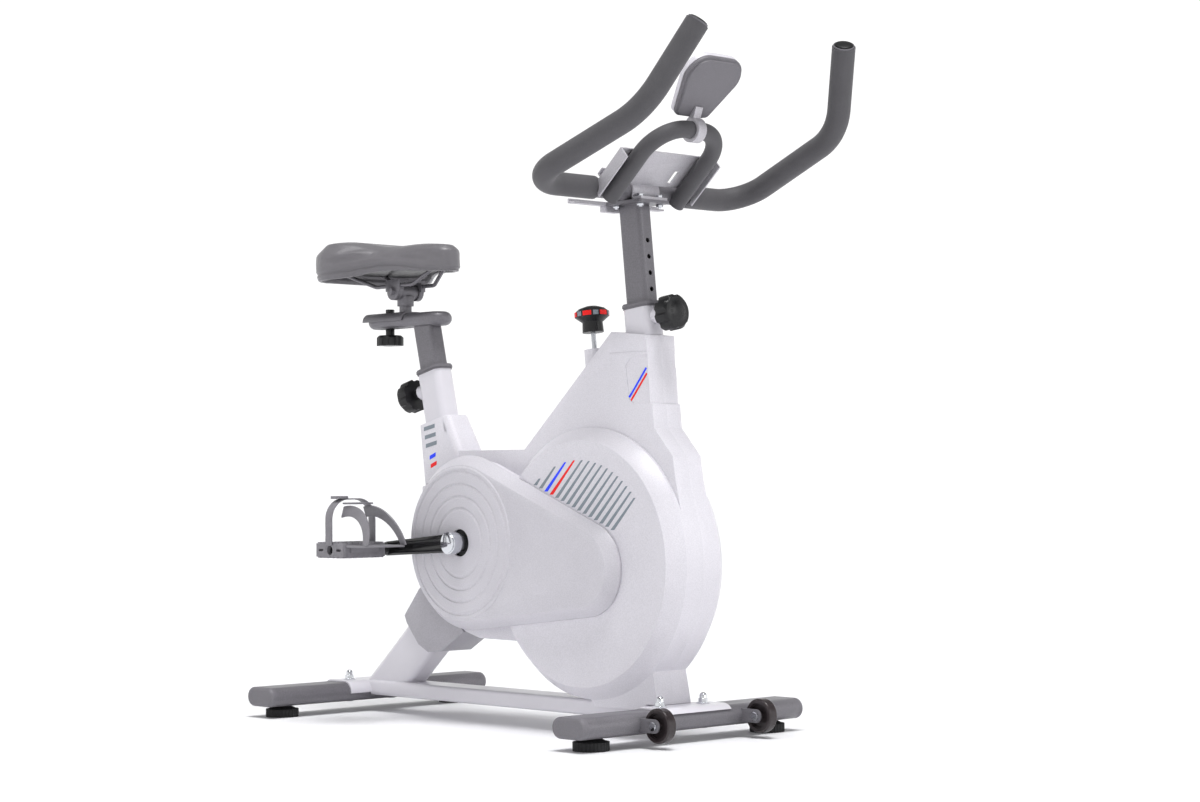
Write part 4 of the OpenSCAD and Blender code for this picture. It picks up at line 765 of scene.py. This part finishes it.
class BIKE_OT_handlebar(bpy.types.Operator):
    """Finish the handlebar, tray and monitor"""

    bl_idname = "bike.handlebar"
    bl_label = "Handlebar"

    def execute(self, context):
        edge = context.scene.bike_sizes.edge_round
        paint("powder_coat_grey", "handlebar_post", "handlebar")
        paint("nbr_foam", "bar_grips", "media_loop")
        # the tray and the clamps get the grey coat painted lighter, as painted light
        rounded_copy("tablet_tray", 0.5 * MM, "powder_coat_painted_light")
        rounded_copy("bar_clamp", edge, "powder_coat_painted_light")
        rounded_copy("clamp_bolts", 0.4 * MM, "chrome_plate")
        rounded_copy("monitor_front", 3 * MM, "moulded_abs_white", segments=4)
        rounded_copy("monitor_back", 1.5 * MM, "moulded_pp_grey", segments=3)
        rounded_copy("monitor_clamp", edge, "powder_coat_painted_light")
        rounded_copy("mode_button", 0.6 * MM, "ink_blue")
        # domed plugs in the bar's open ends
        for side, word in ((-1, "right"), (1, "left")):
            aim = Vector((BAR_END_WAY[0], -BAR_END_WAY[1] * side, BAR_END_WAY[2])).normalized()
            ends = [v.co for v in NODES["handlebar"].data.vertices if v.co.y * side > 0]
            far = max(v.dot(aim) for v in ends)
            face = [v for v in ends if v.dot(aim) > far - 0.2 * MM]
            spot = sum(face, Vector()) / len(face)
            finished("bar_plug_" + word, turned(spot, aim, PLUG_DOME, steps=48), "black_nylon", "handlebar_column")
        # the display's dark window fills the shallow square recess that the rider sees
        bm = merged_copy("monitor_front")
        recess = [f for f in bm.faces if f.normal.x < -0.3 and len(f.verts) == 4]
        face = max(recess, key=lambda f: f.calc_area())
        facing = face.normal.copy()
        bmesh.ops.delete(bm, geom=[f for f in bm.faces if f is not face], context="FACES")
        bmesh.ops.inset_region(bm, faces=list(bm.faces), thickness=1.0 * MM, depth=0.4 * MM, use_even_offset=True)
        bmesh.ops.translate(bm, vec=facing * 0.15 * MM, verts=bm.verts)
        bmesh.ops.solidify(bm, geom=list(bm.faces), thickness=0.1 * MM)
        bmesh.ops.recalc_face_normals(bm, faces=bm.faces)
        finished("monitor_window", bm, "display_glass", "monitor")
        return {"FINISHED"}


KNOB_BLOCKS = 6
KNOB_BLOCK = [(28.0, 26.6), (29.3, 26.6), (29.3, 34.4), (28.0, 34.4)]  # a block's section: radius and height


class BIKE_OT_knobs(bpy.types.Operator):
    """Finish the knobs and their pins"""

    bl_idname = "bike.knobs"
    bl_label = "Knobs"

    def execute(self, context):
        for node in ("handlebar_knob", "seat_knob", "slider_knob", "resistance_knob"):
            rounded_copy(node, 1.6 * MM, "black_nylon", segments=3, crease=30)
        paint("turned_steel", "handlebar_pin", "seat_pin")
        # inset blocks round the resistance knob's rim, wide red ones and narrow grey ones in turn
        spot, axis = joint_axis("resistance_turn")
        foot = min((v.co - spot).dot(axis) for v in NODES["resistance_knob"].data.vertices)
        rim = spot + axis * foot
        for ink, offset, sweep in (("red", 0, 30), ("slate", 36, 18)):
            whole = bmesh.new()
            for i in range(KNOB_BLOCKS):
                bm = turned(rim, axis, KNOB_BLOCK, start=i * 360 / KNOB_BLOCKS + offset, sweep=sweep, steps=8)
                part = bpy.data.meshes.new("part")
                bm.to_mesh(part)
                bm.free()
                whole.from_mesh(part)
                bpy.data.meshes.remove(part)
            finished("knob_blocks_" + ink, whole, "ink_" + ink, "brake_knob", angle=30)
        return {"FINISHED"}


OPERATORS = (
    BIKE_OT_stage,
    BIKE_OT_frame,
    BIKE_OT_housing,
    BIKE_OT_markings,
    BIKE_OT_drive,
    BIKE_OT_pedals,
    BIKE_OT_saddle,
    BIKE_OT_handlebar,
    BIKE_OT_knobs,
)


class BIKE_PT_panel(bpy.types.Panel):
    bl_label = "Exercise bike"
    bl_idname = "BIKE_PT_panel"
    bl_space_type = "VIEW_3D"
    bl_region_type = "UI"
    bl_category = "Bike"

    def draw(self, context):
        for group in (context.scene.bike_sizes, context.scene.bike_colours):
            for key in group.__annotations__:
                self.layout.prop(group, key)
        for operator in OPERATORS:
            self.layout.operator(operator.bl_idname)


CLASSES = (BikeSizes, BikeColours, *OPERATORS, BIKE_PT_panel)


def register():
    for cls in CLASSES:
        bpy.utils.register_class(cls)
    bpy.types.Scene.bike_sizes = PointerProperty(type=BikeSizes)
    bpy.types.Scene.bike_colours = PointerProperty(type=BikeColours)


def unregister():
    del bpy.types.Scene.bike_colours
    del bpy.types.Scene.bike_sizes
    for cls in reversed(CLASSES):
        bpy.utils.unregister_class(cls)


def main():
    """Builds the scene."""
    register()
    make_materials(bpy.context.scene.bike_colours)
    bpy.ops.bike.stage()
    bpy.ops.bike.frame()
    bpy.ops.bike.housing()
    bpy.ops.bike.markings()
    bpy.ops.bike.drive()
    bpy.ops.bike.pedals()
    bpy.ops.bike.saddle()
    bpy.ops.bike.handlebar()
    bpy.ops.bike.knobs()


if __name__ == "__main__":
    main()
